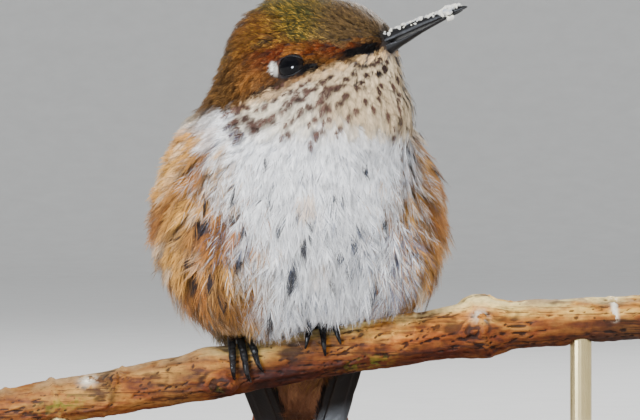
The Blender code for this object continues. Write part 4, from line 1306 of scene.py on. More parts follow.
def slab(outer, inner):
    """(points, triangles) of a closed sheet between two grids of points."""
    rows, columns = outer.shape[:2]
    count = rows * columns
    top = grid_faces(rows, columns)
    rim = np.concatenate([
        np.arange(columns),
        np.arange(1, rows) * columns + columns - 1,
        count - 2 - np.arange(columns - 1),
        np.arange(rows - 2, 0, -1) * columns,
    ])
    ahead = np.roll(rim, -1)
    sides = np.concatenate([
        np.stack([ahead, rim, rim + count], axis=1),
        np.stack([ahead, rim + count, ahead + count], axis=1),
    ])
    points = np.concatenate([outer.reshape(-1, 3), inner.reshape(-1, 3)])
    return points, facing_out(points - points.mean(0), np.concatenate([top, top[:, ::-1] + count, sides]))


def ring_shell(rings):
    """(points, triangles) of a closed shell of rings of points, the last joined to the first."""
    count, around = rings.shape[:2]
    seam = np.arange(around)
    ahead, last = (seam + 1) % around, (count - 1) * around
    joins = [(last + seam, last + ahead, ahead), (last + seam, ahead, seam)]
    faces = [grid_faces(count, around, ring=True)] + [np.stack(join, axis=1) for join in joins]
    return rings.reshape(-1, 3), np.concatenate(faces)


def lathe(profile, around, x=0.0, y=0.0):
    """Rings of points round an upright axis, one for each (radius, height) of a profile."""
    angle = np.linspace(0, 2 * np.pi, around, endpoint=False)
    rings = [(x + r * np.cos(angle), y + r * np.sin(angle), np.full(around, z)) for r, z in profile]
    return np.array(rings).transpose(0, 2, 1)


def smooth_line(values, t):
    """The values at t, 0 to 1, on a Catmull-Rom curve through evenly spaced values, as the CAD draws it."""
    values = np.asarray(values, float)
    last = len(values) - 1
    place = np.clip(np.asarray(t, float), 0, 1) * last
    i = np.minimum(place.astype(int), last - 1)
    f = (place - i)[..., None]
    p, q, r, s = (values[np.clip(k, 0, last)] for k in (i - 1, i, i + 1, i + 2))
    return 0.5 * (2 * q + (r - p) * f + (2 * p - 5 * q + 4 * r - s) * f**2 + (3 * q - p - 3 * r + s) * f**3)


# ---- Wings and tail -----------------------------------------------------------------------------------

# The CAD's folded wings and tail, in the body's frame
WING_EDGE = ((13.8, 7.4, 20.5), (13.0, 12.0, 12.5), (8.8, 12.4, 3.0), (3.2, 11.4, -12.4))
WING_WIDTHS = (3.8, 9.2, 7.4, 6.2)
WING_CHORDS = ((-0.78, 0.62, 0.06), (-0.90, 0.42, 0.0), (-0.90, 0.34, 0.0), (-0.92, 0.30, 0.0))
WING_THICKNESS = (1.9, 1.5, 1.0, 0.7)
WING_SPREAD = {"left": -0.5, "right": 0.6}
WING_FEATHERS = 7
TAIL_LINE = ((0.0, 13.2, 3.0), (0.0, 16.0, -4.0), (0.0, 18.6, -12.0), (0.0, 21.2, -20.5))
TAIL_WIDTHS = (3.8, 6.6, 10.2, 13.2)
TAIL_THICKNESS = (2.2, 1.7, 1.2, 0.8)
TAIL_FEATHERS = 10
SWING = 2.4  # how far wings and tail lean to the bird's left at the end of DROP
DROP = 40.0

QUILL = colour(30, 22, 18)
PRIMARY = colour(24, 18, 16)
PRIMARY_EDGE = colour(66, 50, 40)
TAIL_RUFOUS = colour(136, 66, 28)
TAIL_BAND = colour(20, 16, 16)
TAIL_TIP = colour(214, 168, 112)
TAIL_GREEN = colour(70, 80, 36)


class Blade:
    """The surface of a CAD wing or of the tail: places on it, t along and u across."""

    def __init__(self, node, line, widths, chords, thickness, centred, facing, spread=0.0):
        line = np.array(line, float)
        drop = np.clip((WING_EDGE[0][2] - line[:, 2]) / DROP, 0.0, 1.0)
        line[:, 0] += SWING * drop + spread * drop**2
        self.line, self.chords = line, np.array(chords, float)
        self.widths, self.thickness = np.array(widths)[:, None], np.array(thickness)[:, None]
        self.centred, self.facing = centred, facing
        self.tree = tree_of(*node_mesh(node))
        self.length = np.linalg.norm(np.diff(smooth_line(line, np.linspace(0, 1, 60)), axis=0), axis=1).sum()

    def at(self, t, u):
        """(points on the outer side, across, out, thickness) in the row frame."""
        t, u = np.broadcast_arrays(np.asarray(t, float), np.asarray(u, float))
        here = smooth_line(self.line, t)
        over = np.maximum(t - 1.0, 0.0)[..., None]
        last = unit(self.line[-1] - smooth_line(self.line, 0.98))
        ahead = unit(smooth_line(self.line, np.minimum(t + 0.02, 1.0)) - smooth_line(self.line, np.minimum(t, 0.98)))
        here = here + over * last * self.length
        across = smooth_line(self.chords, t)
        across = unit(across - ahead * (across * ahead).sum(-1, keepdims=True))
        out = np.cross(across, ahead) * self.facing
        point = here + across * smooth_line(self.widths, t) * (u[..., None] - (0.5 if self.centred else 0.0))
        turn = np.array(BODY)
        point = point @ turn[:3, :3].T + turn[:3, 3]
        across, out = (v @ turn[:3, :3].T for v in (across, out))
        thick = smooth_line(self.thickness, t)[..., 0] * (0.7 + 0.3 * np.sin(np.pi * np.clip(u, 0, 1)))
        found = point + out * thick[..., None] * 0.5  # where the ray towards the CAD's outer side misses it
        for k in np.ndindex(t.shape):
            hit = self.tree.ray_cast(Vector(point[k] + out[k] * 5.0), Vector(-out[k]), 8.0)[0]
            if hit is not None:
                found[k] = hit
        return found, across, out, thick


def wing_blade(side):
    sign = 1.0 if side == "left" else -1.0
    edge, chords = ([(x * sign, y, z) for x, y, z in rows] for rows in (WING_EDGE, WING_CHORDS))
    spread = WING_SPREAD[side] * sign
    return Blade(f"wing_{side}", edge, WING_WIDTHS, chords, WING_THICKNESS, False, -sign, spread)


ACROSS = np.array((-1.0, -0.86, -0.66, -0.42, -0.2, -0.07, 0.0, 0.07, 0.2, 0.42, 0.66, 0.86, 1.0))
RIDGE = np.array((0.0, 0.0, 0.0, 0.0, 0.15, 0.75, 1.0, 0.75, 0.15, 0.0, 0.0, 0.0, 0.0))
QUILL_ROWS = 56


def quill(rng, blade, u, first, last, left, right, lift, camber, blunt, ground):
    """One flight feather as a closed thin sheet with its shaft standing out.

    left and right are the half widths to either side in mm, blunt the share of its length that its tip takes,
    and lift how far it lies off the CAD's outer side. Returns (points, triangles, along, across, colours).
    """
    s = np.linspace(0, 1, QUILL_ROWS)
    line, across, out, _ = blade.at(first + (last - first) * s, u)
    for _ in range(3):
        line[1:-1] = 0.25 * line[:-2] + 0.5 * line[1:-1] + 0.25 * line[2:]
    root = step(-0.25, 0.22, s)
    tip = np.sqrt(np.clip(1.0 - np.clip((s - (1 - blunt)) / blunt, 0, 1) ** 2.3, 0, 1))
    nicks = np.ones((QUILL_ROWS, 2))
    for column in range(2):
        for place in rng.uniform(0.3, 0.95, rng.integers(2, 5)):
            nicks[:, column] -= 0.10 * bell(s, place, 0.012)
    wide = np.where(ACROSS < 0, left * nicks[:, :1], right * nicks[:, 1:])
    wide = wide * (root * np.maximum(tip, 0.02))[:, None]
    height = lift - camber * ACROSS**2 * wide + 0.16 * RIDGE * (1.15 - s)[:, None]
    outer = line[:, None] + across[:, None] * (ACROSS * wide)[..., None] + out[:, None] * height[..., None]
    body = 0.07 + 0.30 * RIDGE * (1.1 - s)[:, None]
    points, faces = slab(outer, outer - out[:, None] * body[..., None])
    along = np.tile(np.repeat(s, len(ACROSS)), 2)
    over = np.tile(np.tile(ACROSS, QUILL_ROWS), 2)
    return points, faces, along, over, ground(s[:, None], ACROSS[None, :], rng)


def quill_material(name):
    """Flight feathers: their own colours, with the fine slanting lines of their barbs, and a satin gloss."""
    n = Nodes(name)
    along, across, size = n.parts(n.attribute("vane", "Vector"))
    slant = n.math("SUBTRACT", n.times(along, size), n.times(n.math("ABSOLUTE", across), 1.6))
    line = n.node("CombineXYZ", {0: slant, 1: n.times(across, 0.6), 2: size}).outputs[0]
    barbs = n.noise(line, (9.0, 1.0, 3.0), 2.0)
    broad = n.noise(line, (1.2, 0.8, 3.0), 2.0)
    shade = n.shade(n.attribute("tint"), n.ramp(barbs, (0.3, 0.72), (0.7, 1.25)))
    return n.finish(
        base_color=n.shade(shade, n.ramp(broad, (0.3, 0.8), (0.7, 1.15))),
        roughness=n.range(broad, 0.2, 0.8, 0.36, 0.52), metallic=0.0, sheen_weight=0.1, specular_ior_level=0.45,
        normal=n.bump(barbs, 0.35, 0.00012),
    )


def primary_look(along, across, rng):
    """Dusky, with paler narrow edges and a nearly black shaft."""
    edge = step(0.72, 1.0, np.abs(across)) * step(0.0, 0.2, along)
    shade = mix(PRIMARY * rng.uniform(0.8, 1.15), PRIMARY_EDGE, 0.35 * edge)
    return mix(shade, QUILL, np.broadcast_to(step(0.12, 0.03, np.abs(across)), edge.shape))


def tail_look(pair):
    """The tail's colours. Outer feathers are rufous with a black band and a pale tip, middle ones green and dark."""

    def look(along, across, rng):
        wave = 0.02 * np.sin(9 * across + pair)
        band = step(0.60 - 0.03 * pair, 0.66 - 0.03 * pair, along + wave)
        pale = step(0.90, 0.93, along + wave + 0.015 * np.abs(across)) * (1.0 if pair >= 2 else 0.0)
        ground = np.broadcast_to(TAIL_RUFOUS * rng.uniform(0.9, 1.1), along.shape[:1] + across.shape[1:] + (3,))
        if pair < 1:
            streak = step(0.95, 0.35, np.abs(across) + 0.25 * along)
            ground = mix(ground, TAIL_GREEN, 0.9 * np.broadcast_to(streak, ground.shape[:2]))
            band = step(0.72, 0.95, along + wave)
        shade = mix(ground, TAIL_BAND, band)
        shade = mix(shade, TAIL_TIP, pale)
        return mix(shade, QUILL, np.broadcast_to(0.8 * step(0.12, 0.03, np.abs(across)), band.shape))

    return look


def quills(name, feathers, material, replaces=()):
    """One piece of flight feathers."""
    points, faces = together(*[(f[0], f[1]) for f in feathers])
    data = mesh_of(name, points, faces)
    tint(data, np.concatenate([np.tile(f[4].reshape(-1, 3), (2, 1)) for f in feathers]))
    vane = [np.stack([f[2], f[3], np.full(len(f[2]), 30.0 + i)], axis=1) for i, f in enumerate(feathers)]
    write(data, "vane", "FLOAT_VECTOR", np.concatenate(vane))
    return piece(name, data, material, replaces=replaces)


def make_tail(rng):
    """The tail's feathers, the outer ones under the inner ones."""
    blade = Blade("tail", TAIL_LINE, TAIL_WIDTHS, [(1.0, 0.0, 0.0)] * 4, TAIL_THICKNESS, True, 1.0)
    feathers = []
    for k in range(TAIL_FEATHERS):
        u = (k + 0.5) / TAIL_FEATHERS
        pair = int(abs(k - 4.5))
        last = 1.0 - 0.07 * (2 * u - 1) ** 2 + 0.03 - 0.012 * (k == 5)
        lift = -0.22 - 0.13 * pair - 0.05 * (k < 5)
        half = (1.75 + 0.12 * pair) * 0.9
        feathers.append(quill(rng, blade, u, 0.02, last, half, half, lift, 0.05, 0.16, tail_look(pair)))
    quills("tail_feathers", feathers, quill_material("tail_vanes"), replaces=("tail",))


# Rows of a wing's coverts, the longest first: place along the wing, how many, length
COVERTS = (
    (0.27, 9, 6.2), (0.215, 10, 5.0), (0.165, 10, 4.0), (0.12, 10, 3.3), (0.078, 10, 2.8), (0.04, 9, 2.5),
    (0.008, 8, 2.3),
)


def make_primaries(side, rng, blade, material):
    """A folded wing's long feathers, the longest lowest."""
    feathers = []
    for k in range(WING_FEATHERS):
        u = (k + 0.5) / WING_FEATHERS
        last = 1.0 - 0.46 * u**1.4 + 0.03
        inner = 1.9 if k < WING_FEATHERS - 1 else 1.1
        lift = -0.42 + 0.055 * k
        feathers.append(quill(rng, blade, u, 0.16, last, 0.85, inner, lift, 0.04, 0.13, primary_look))
    quills(f"primaries_{side}", feathers, material, replaces=(f"wing_{side}",))


def make_arm(side, blade, material):
    """The arm under the coverts."""
    t, u = np.meshgrid(np.linspace(0.0, 0.46, 26), np.linspace(0.0, 1.0, 18), indexing="ij")
    outer, _, out, thick = blade.at(t, np.clip(u, 0.03, 0.97))
    rim = np.sqrt(np.clip(np.sin(np.pi * np.clip(u, 0.02, 0.98)), 0, 1)) * step(-0.02, 0.05, t) * step(0.52, 0.36, t)
    middle = outer - out * (thick * 0.5)[..., None]
    half = (thick * 0.5 * (0.25 + 0.75 * rim) - 0.12)[..., None]
    points, faces = slab(middle + out * half, middle - out * half)
    data = mesh_of(f"wing_arm_{side}", points, faces)
    tint(data, np.tile(PRIMARY * 0.7, (len(points), 1)))
    write(data, "vane", "FLOAT_VECTOR", np.zeros((len(points), 3)))
    piece(f"wing_arm_{side}", data, material)


def make_coverts(side, rng, blade, material):
    """The coverts, from the longest, which lie under, to the small ones over the wrist."""
    roots, sizes = [], []
    for place, many, length in COVERTS:
        for j in range(many):
            roots.append((place + rng.normal(0, 0.006), (j + 0.5) / many + rng.normal(0, 0.015)))
            sizes.append(length * rng.uniform(0.92, 1.08))
    roots, sizes = np.array(roots), np.array(sizes)
    s = np.linspace(0, 1, SHAFT)
    down = roots[:, :1] + s * (sizes / blade.length)[:, None]
    surface, _, out, _ = blade.at(down, np.clip(roots[:, 1:], 0.03, 0.97))
    rise = 0.06 + 0.34 * s**0.7 + rng.uniform(0, 0.10, len(roots))[:, None]
    width = 0.30 * sizes**0.55 + 0.35
    made = vanes(rng, surface + out * rise[..., None], out, sizes, width, np.full(len(roots), 0.15), 18)
    long = step(3.4, 5.6, sizes)
    green = mix(mix(BACK, OLIVE, rng.random(len(roots))), PRIMARY * 1.3, long * 0.75)
    look = {"tip": green, "down": green * 0.3, "glint": 0.75 - 0.5 * long, "other": green, "swap": 0 * sizes}
    home = np.stack([0.02 + 0.96 * roots[:, 1], 0.02 + 0.3 * roots[:, 0]], axis=1)
    data = coat_mesh(f"wing_coverts_{side}", made, paint(rng, made, look), home)
    piece(f"wing_coverts_{side}", data, material)


# ---- Eyes, bill and feet ------------------------------------------------------------------------------


# Each lid's rim in rings, from the eye's surface out under the feathers: how wide, and how far it stands out
LID_RINGS = ((0.985, -0.05), (0.99, 0.05), (1.02, 0.10), (1.06, 0.12), (1.11, 0.10), (1.18, 0.04), (1.28, -0.12))
LID_TILT = math.radians(-10)
LID_DEPTH = 0.10


def make_eye(side, lens, lid):
    """A smooth glossy eye with a bulging cornea, and the rims of its lids."""
    middle, outward, forward, upward = EYES[side]
    turn = np.stack([forward, upward, outward], axis=1)
    points, faces = ball((0, 0, 0), EYE_FORM, 64, 48)
    data = mesh_of(f"eyeball_{side}", points @ turn.T + middle, facing_out(points, faces))
    write(data, "iris", "FLOAT", step(1.35, 1.1, np.hypot(points[:, 0], points[:, 1])))
    piece(f"eyeball_{side}", data, lens, replaces=(f"eye_{side}",))

    angle = np.linspace(0, 2 * np.pi, 96, endpoint=False)
    x, y = np.cos(angle), np.sin(angle)
    corner = 0.30 * np.clip(x, 0, 1) ** 6 + 0.16 * np.clip(-x, 0, 1) ** 8
    edge = np.stack([x * (LID_LENGTH + corner), y * LID_HEIGHT * (1 - 0.10 * x), 0 * x], axis=1)
    edge = edge @ np.array(Matrix.Rotation(LID_TILT, 3, "Z")).T
    rings = []
    for swell, rise in LID_RINGS:
        ring = edge * swell
        across = np.minimum(np.hypot(ring[:, 0] / EYE_FORM[0], ring[:, 1] / EYE_FORM[1]), 0.995)
        beads = 0.022 * np.sin(30 * angle + 3 * swell) * (1.0 < swell < 1.2)
        ring[:, 2] = EYE_FORM[2] * np.sqrt(1 - across**2) + rise + beads
        rings.append(ring)
    rings = np.array(rings)
    points, faces = ring_shell(np.concatenate([rings, rings[::-1] - (0, 0, LID_DEPTH)]))
    data = mesh_of(f"lids_{side}", points @ turn.T + middle, facing_out(points - (0, 0, 1), faces))
    piece(f"lids_{side}", data, lid)


def eye_materials():
    n = Nodes("wet_eye")
    rays = n.noise(n.place(), 2600.0, 3.0)
    brown = n.ramp(rays, (0.3, (0.004, 0.003, 0.003)), (0.7, (0.009, 0.006, 0.005)))
    shade = n.blend(n.attribute("iris", "Fac"), brown, (0.002, 0.002, 0.003))
    lens = n.finish(base_color=shade, roughness=0.04, ior=1.22, specular_ior_level=0.5)
    n = Nodes("lid_skin")
    grain = n.noise(n.place(), 5200.0, 3.0)
    lid = n.finish(
        base_color=n.ramp(grain, (0.3, (0.004, 0.004, 0.005)), (0.75, (0.018, 0.015, 0.015))), roughness=0.5,
        specular_ior_level=0.25, normal=n.bump(grain, 0.4, 0.0001),
    )
    return lens, lid


def horn(name, dark, pale, roughness, stretch, strength=0.3):
    """Smooth horn with fine grain along it."""
    n = Nodes(name)
    grain = n.noise(n.place(), stretch, 4.0)
    return n.finish(
        base_color=n.ramp(grain, (0.3, dark), (0.75, pale)),
        roughness=n.range(grain, 0.2, 0.8, roughness, roughness + 0.14),
        specular_ior_level=0.25, normal=n.bump(grain, strength, 0.0001),
    )


POLLEN_HEAP = 0.835  # where along the bill the pollen lies thickest, 0 at the base, 1 at the tip


def make_pollen(rng, line, places, radii, length, top, side):
    """The pollen crusted along the bill's top, as grains melted together."""
    grains = []
    for place in np.concatenate([
        0.36 + 0.44 * rng.integers(0, 14, 95) / 13 + rng.normal(0, 0.006, 95), rng.normal(POLLEN_HEAP, 0.035, 90),
        rng.uniform(0.86, 0.965, 30), rng.uniform(0.20, 0.34, 16),
    ]):
        along = np.clip(place, 0.15, 0.965) * length
        heap = bell(place, POLLEN_HEAP, 0.05)
        angle = rng.normal(0.50 if place > 0.35 else 0.9, 0.36 + 0.76 * heap)
        size = rng.uniform(0.09, 0.20) + 0.12 * heap * rng.random()
        off = np.interp(along, places, radii) * 0.96 + 0.16 * heap * rng.random()
        where = on_line(line, places, along) + (top * math.cos(angle) + side * math.sin(angle)) * off
        grains.append(ball(where, size * rng.uniform(0.8, 1.3, 3), 8, 6))
    points, faces, normals = blended(*together(*grains), 0.0, 0.055, 1)
    points = points + normals * (0.03 * wavy(points, 6.0, 2.0))[:, None]
    n = Nodes("pollen")
    clump = n.noise(n.place(), 1800.0, 4.0)
    n.finish(
        base_color=n.ramp(clump, (0.3, (0.30, 0.33, 0.40)), (0.55, (0.68, 0.67, 0.60)), (0.75, (0.86, 0.84, 0.72))),
        roughness=0.8, normal=n.bump(clump, 0.8, 0.0002),
    )
    piece("pollen", mesh_of("pollen", points, faces), n.material)


def make_bill(rng):
    """The two halves of the bill, smoothed, with a groove at the nostril, and the pollen on them."""
    material = horn("black_horn", (0.003, 0.003, 0.004), (0.012, 0.011, 0.012), 0.36, (1500, 1500, 1500))
    line, radii = BILL_LINE, BILL_RADII
    if line[-1, 2] < line[0, 2]:
        line, radii = line[::-1], radii[::-1]
    axis = unit(line[-1] - line[0])
    length = np.linalg.norm(line[-1] - line[0])
    places = (line - line[0]) @ axis
    up = np.array(HEAD)[:3, 2]
    top = unit(up - axis * (up @ axis))
    side = np.cross(axis, top)
    for name in ("bill_upper", "bill_lower"):
        points, faces, normals = blended(*node_mesh(name), 0.02, 0.10, 2)
        along = (points - line[0]) @ axis
        angle = np.arctan2((points - line[0]) @ side, (points - line[0]) @ top)
        relief = 0.012 * wavy(np.stack([along * 0.6, angle * 4, 0 * along], axis=1), 1.0)
        if name == "bill_upper":
            relief -= 0.06 * bell(np.abs(angle), 0.95, 0.16) * step(6.5, 3.0, along)
        else:
            below = ((points - on_line(line, places, along)) @ top).clip(None, 0.0)
            points = points + top * (0.72 * below * step(0.95, 0.15, along / length))[:, None]
        data = mesh_of(f"{name}_horn", points + normals * relief[:, None], faces)
        piece(f"{name}_horn", data, material, replaces=(name,))
    make_pollen(rng, line, places, radii, length, top, side)


TOES = ("inner", "middle", "outer", "hind")


def scutes(along, size):
    """The relief of scutes of some size along a leg or a toe."""
    return np.abs(np.sin(np.pi * along / size)) ** 0.6 - 0.62


def make_feet():
    """Scaled toes and legs, and curved glossy claws, over their CAD forms."""
    n = Nodes("scaled_skin")
    cells = n.cells(n.place(), 3400.0)
    fine = n.noise(n.place(), 6000.0, 3.0)
    dark = n.ramp(cells, (0.1, (0.003, 0.003, 0.003)), (0.6, (0.010, 0.009, 0.009)))
    scaled = n.finish(
        base_color=n.shade(dark, n.ramp(fine, (0.3, 0.7), (0.7, 1.2))),
        roughness=n.range(cells, 0.1, 0.6, 0.34, 0.55), specular_ior_level=0.25, normal=n.bump(cells, 0.5, 0.00015),
    )
    claw = horn("claw_horn", (0.004, 0.004, 0.005), (0.020, 0.018, 0.019), 0.16, (2500, 900, 900), 0.15)
    for side in SIDES:
        toes, claws = [], []
        toe_names, claw_names = ([f"{part}_{side}_{toe}" for toe in TOES] for part in ("toe", "claw"))
        for name in toe_names:
            points, faces, normals = blended(*node_mesh(name), 0.09, 0.11, 4)
            off = points - on_line(PERCH_LINE, PERCH_LINE[:, 0], points[:, 0])
            around = np.arctan2(-off[:, 1], off[:, 2]) * 3.3
            rise = 0.055 * scutes(around, 0.52) * step(-0.2, 0.5, (normals * unit(off)).sum(1))
            toes.append((points + normals * rise[:, None], faces))
        for name in claw_names:
            claws.append(blended(*node_mesh(name), 0.045, 0.06, 3)[:2])
        points, faces, normals = blended(*node_mesh(f"leg_{side}"), 0.0, 0.12, 4)
        toes.append((points + normals * (0.04 * scutes(points[:, 2], 0.7))[:, None], faces))
        names = toe_names + [f"leg_{side}"]
        piece(f"foot_{side}", mesh_of(f"foot_{side}", *together(*toes)), scaled, replaces=names)
        piece(f"claws_{side}", mesh_of(f"claws_{side}", *together(*claws)), claw, replaces=claw_names)


# ---- Twig and stand -----------------------------------------------------------------------------------


# Painted light and shade round the twig, paler on top and deeper below: the angle from the top, then factors on the
# colour of its right and its left part
BARK_PAINTED_LIGHT = (
    (0.70, (1.14, 1.38, 1.10), (0.55, 0.52, 0.40)),
    (1.33, (1.05, 1.10, 0.76), (0.86, 0.82, 0.54)),
    (1.85, (0.60, 0.44, 0.24), (1.00, 0.88, 0.48)),
    (2.40, (0.42, 0.27, 0.12), (0.74, 0.54, 0.28)),
)

# Rings round the bark, dark ones and ones that stand out: place on top, reach, from and to which angle,
# slant, strength. The angle runs from the top towards the front.
DARK_RINGS = (
    (-24.75, 0.50, 0.5, 1.9, 0.5, 0.62), (15.75, 0.22, 1.5, 2.6, 0.9, 0.40), (-37.8, 1.10, 2.0, 3.0, 0.2, 0.55),
    (-16.3, 2.20, 1.3, 3.0, 0.2, 0.40), (-10.4, 0.60, 1.9, 3.0, -0.4, 0.35), (34.0, 6.00, 1.7, 3.0, 0.0, 0.58),
)
RAISED_RINGS = (
    (-30.9, 0.35, -2.6, 2.2, 0.5, 0.34), (-22.6, 0.30, 0.2, 2.8, -0.8, 0.22), (-36.2, 0.28, -1.4, 1.0, 0.3, 0.16),
    (4.4, 0.22, 0.5, 2.0, 0.9, 0.16), (8.7, 0.18, 0.2, 1.4, -0.3, 0.14), (10.6, 0.20, -0.4, 1.3, 0.2, 0.16),
    (17.0, 0.34, 0.6, 2.6, 0.9, 0.26), (33.4, 0.34, -1.2, 1.1, 0.15, 0.20), (38.8, 0.2, 0.4, 2.4, -0.4, 0.12),
)

KNOTS = ((-11.4, 2.05, 1.7), (17.6, 1.75, 1.3), (-23.4, 0.9, 1.0), (20.8, -0.2, 1.1))  # place, angle, size


def rings_at(x, angle, table, soft):
    """How strongly each point of the bark lies in any of a table's rings."""
    return np.maximum.reduce([
        strength * bell(x - slant * angle, place, reach) * between(angle, first, last, soft)
        for place, reach, first, last, slant, strength in table
    ])


def bark_painted_light(x, angle, rough):
    """Factors on the bark's colour with painted light and shade: paler on top, deep and warm below, and greyer to the
    left; the dark rings darken it too.
    """
    places, right, left = (np.array(column) for column in zip(*BARK_PAINTED_LIGHT))
    right, left = (on_line(tones, places, np.abs(angle)) for tones in (right, left))
    tones = left + (right - left) * step(-15.0, -9.0, x)[:, None]
    # a painted shadow on the front near the middle, and painted light on top to the right
    front = bell(x, -4.8, 5.0) * step(1.15, 1.6, np.abs(angle + 0.15 * rough))
    lit = bell(x, 8.5, 8.5) * step(2.2, 1.5, np.abs(angle))
    tones *= (1.0 - rings_at(x, angle, DARK_RINGS, 0.3))[:, None]
    return tones * (1.0 - 0.75 * front[:, None] * np.array((0.80, 1.0, 1.2))) * (1.0 + 0.9 * lit[:, None])


def bark_relief(points, x, angle, lumps):
    """How far each point of the bark stands out, away from what grips it and the cut ends."""
    wrap = np.stack([x * 0.16, np.cos(angle) * 1.5, np.sin(angle) * 1.5], axis=1)
    long = wavy(wrap * (1.0, 2.2, 2.2), 1.0)
    deep = wavy(wrap * (1.6, 3.8, 3.8) + (7, 3, 1), 1.0)
    crisp = wavy(points, 1.4, 6.0)
    below = step(0.6, 1.5, np.abs(angle)) * step(3.0, 2.2, np.abs(angle))
    rough = np.clip(below * (0.45 + 0.9 * step(-12.0, 0.0, x) * step(26.0, 18.0, x)) + 0.25, 0, 1)
    height = 0.16 * lumps + 0.07 * crisp
    height += rough * (0.16 * long - 0.38 * step(0.10, 0.0, np.abs(deep)) * step(-0.35, 0.05, long))
    height += rings_at(x, angle, RAISED_RINGS, 0.5) * (1.0 + 0.5 * crisp)
    for place, at, size in KNOTS:
        away = np.hypot((x - place) / 1.25, np.abs(angle - at) * 3.0) / size
        height += 0.17 * np.cos(away * 7.5 + 2.0 * crisp) * step(1.5, 0.6, away)
    return height, crisp


def bark_material():
    n = Nodes("bark")
    place = n.place()
    angle, height, top = n.parts(n.attribute("bark", "Vector"))
    green, chalk, end = n.parts(n.attribute("marks", "Vector"))
    grain = n.noise(place, (180, 900, 900), 5.0, 0.62)
    patch = n.noise(place, (120, 260, 260), 3.0)
    fleck = n.noise(place, 1500.0, 3.0)
    ground = n.ramp(
        n.math("ADD", n.times(patch, 0.55), n.times(grain, 0.45)),
        (0.38, colour(84, 40, 12)), (0.46, colour(156, 96, 42)), (0.55, colour(192, 142, 82)),
        (0.66, colour(216, 176, 122)),
    )
    around = n.math("ABSOLUTE", angle)
    # painted shade below, by the angle round the twig, and painted light in pale patches on top
    shaded = n.times(n.range(around, 0.30, 0.62), 0.75)
    pale = n.times(top, n.range(n.noise(place, (200, 420, 420), 4.0), 0.36, 0.56))
    plum = n.times(top, n.range(n.noise(place, 230.0, 3.0), 0.56, 0.63))
    plum = n.times(plum, n.range(n.parts(place)[0], 0.0, 0.006))
    streaks = n.range(n.noise(place, (60, 2200, 2200), 5.0, 0.6), 0.54, 0.61)
    dots = n.times(n.range(n.cells(place, 900.0), 0.16, 0.10), n.range(n.noise(place, 300.0, 2.0), 0.48, 0.56))
    for share, shade in (
        (n.times(shaded, n.range(grain, 0.35, 0.6, 1.0, 0.35)), colour(108, 46, 8)),
        (n.times(pale, 0.8), colour(204, 172, 136)),
        (n.times(plum, 0.7), colour(112, 76, 66)),
        # painted shade in the furrows, where the relief dips
        (n.times(n.range(height, -0.05, -0.16), 0.85), colour(48, 24, 8)),
        (n.times(streaks, n.range(around, 0.12, 0.35, 0.20, 0.75)), colour(70, 34, 12)),
        (n.times(dots, 0.75), colour(52, 30, 14)),
    ):
        ground = n.blend(share, ground, shade)
    # painted light and shade, as factors from the twig's mesh
    ground = n.shade(ground, n.attribute("tone", "Vector"))
    moss = n.times(green, n.range(fleck, 0.46, 0.56))
    ground = n.blend(n.times(moss, 0.8), ground, colour(112, 112, 30))
    lichen = n.times(chalk, n.range(n.noise(place, 900.0, 3.0), 0.40, 0.50))
    ground = n.blend(lichen, ground, colour(232, 224, 206))
    wood = n.noise(place, (400, 1600, 1600), 4.0)
    ground = n.blend(end, ground, n.ramp(wood, (0.3, colour(196, 160, 112)), (0.7, colour(226, 198, 154))))
    return n.finish(
        base_color=n.shade(ground, n.ramp(fleck, (0.25, 0.72), (0.75, 1.22))),
        roughness=n.range(grain, 0.3, 0.7, 0.62, 0.85), specular_ior_level=0.3,
        normal=n.bump(n.math("ADD", grain, n.times(fleck, 0.5)), 0.55, 0.00035),
    )


def make_twig():
    """The twig with its bark: long furrows, scars of leaves, knots, flakes and cut ends."""
    points, faces, normals = blended(*node_mesh("perch"), 0.0, 0.24, 6)
    off = points - on_line(PERCH_LINE, PERCH_LINE[:, 0], points[:, 0])
    x, angle = points[:, 0], np.arctan2(-off[:, 1], off[:, 2])
    lumps = wavy(points, 0.30, 4.0)
    height, crisp = bark_relief(points, x, angle, lumps)
    ends = (np.abs(normals[:, 0]) > 0.8) & (np.abs(x) > 42.5)
    gripping = node_mesh(*[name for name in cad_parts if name.startswith(("toe_", "claw_"))])[0]
    feet = lookup_of(gripping)
    free = step(0.35, 1.3, np.array([feet.find(p)[2] for p in points.tolist()]))
    height = np.where(height > 0, height * free, height)
    height = np.where(ends, 0.03 * crisp, height) - 0.02
    data = mesh_of("bark", points + normals * height[:, None], faces)
    top = step(1.25, 0.35, np.abs(angle + 0.1))
    green = np.maximum.reduce([
        bell(x, -29.5, 2.6) * bell(angle, 1.75, 0.35), bell(x, 5.5, 2.4) * bell(angle, 2.35, 0.3),
        0.6 * step(0.5, 0.9, wavy(points, 0.35, 12.0)),
    ])
    chalk = np.maximum.reduce([
        bell(x, -26.6, 0.9) * bell(angle, 0.75, 0.30), 0.7 * bell(x, 18.3, 0.8) * bell(angle, 1.2, 0.22),
        1.3 * bell(x - 0.15 * angle, 33.6, 0.30) * step(1.6, 1.2, np.abs(angle - 0.2)),
    ])
    write(data, "bark", "FLOAT_VECTOR", np.stack([angle / np.pi, height, top], axis=1))
    write(data, "marks", "FLOAT_VECTOR", np.stack([green, chalk, ends * 1.0], axis=1))
    # painted light and shade, as factors on the bark's colour
    write(data, "tone", "FLOAT_VECTOR", bark_painted_light(x, angle, lumps))
    piece("bark", data, bark_material(), replaces=("perch",))


# Radius and height over the base of a turned collar, from the rod out and back in
COLLAR = (
    (1.27, 1.9), (1.55, 1.9), (1.72, 1.75), (1.75, 1.45), (1.66, 1.2), (1.95, 0.95), (2.5, 0.72), (2.62, 0.5),
    (2.62, 0.12), (2.5, 0.02), (1.27, 0.02),
)


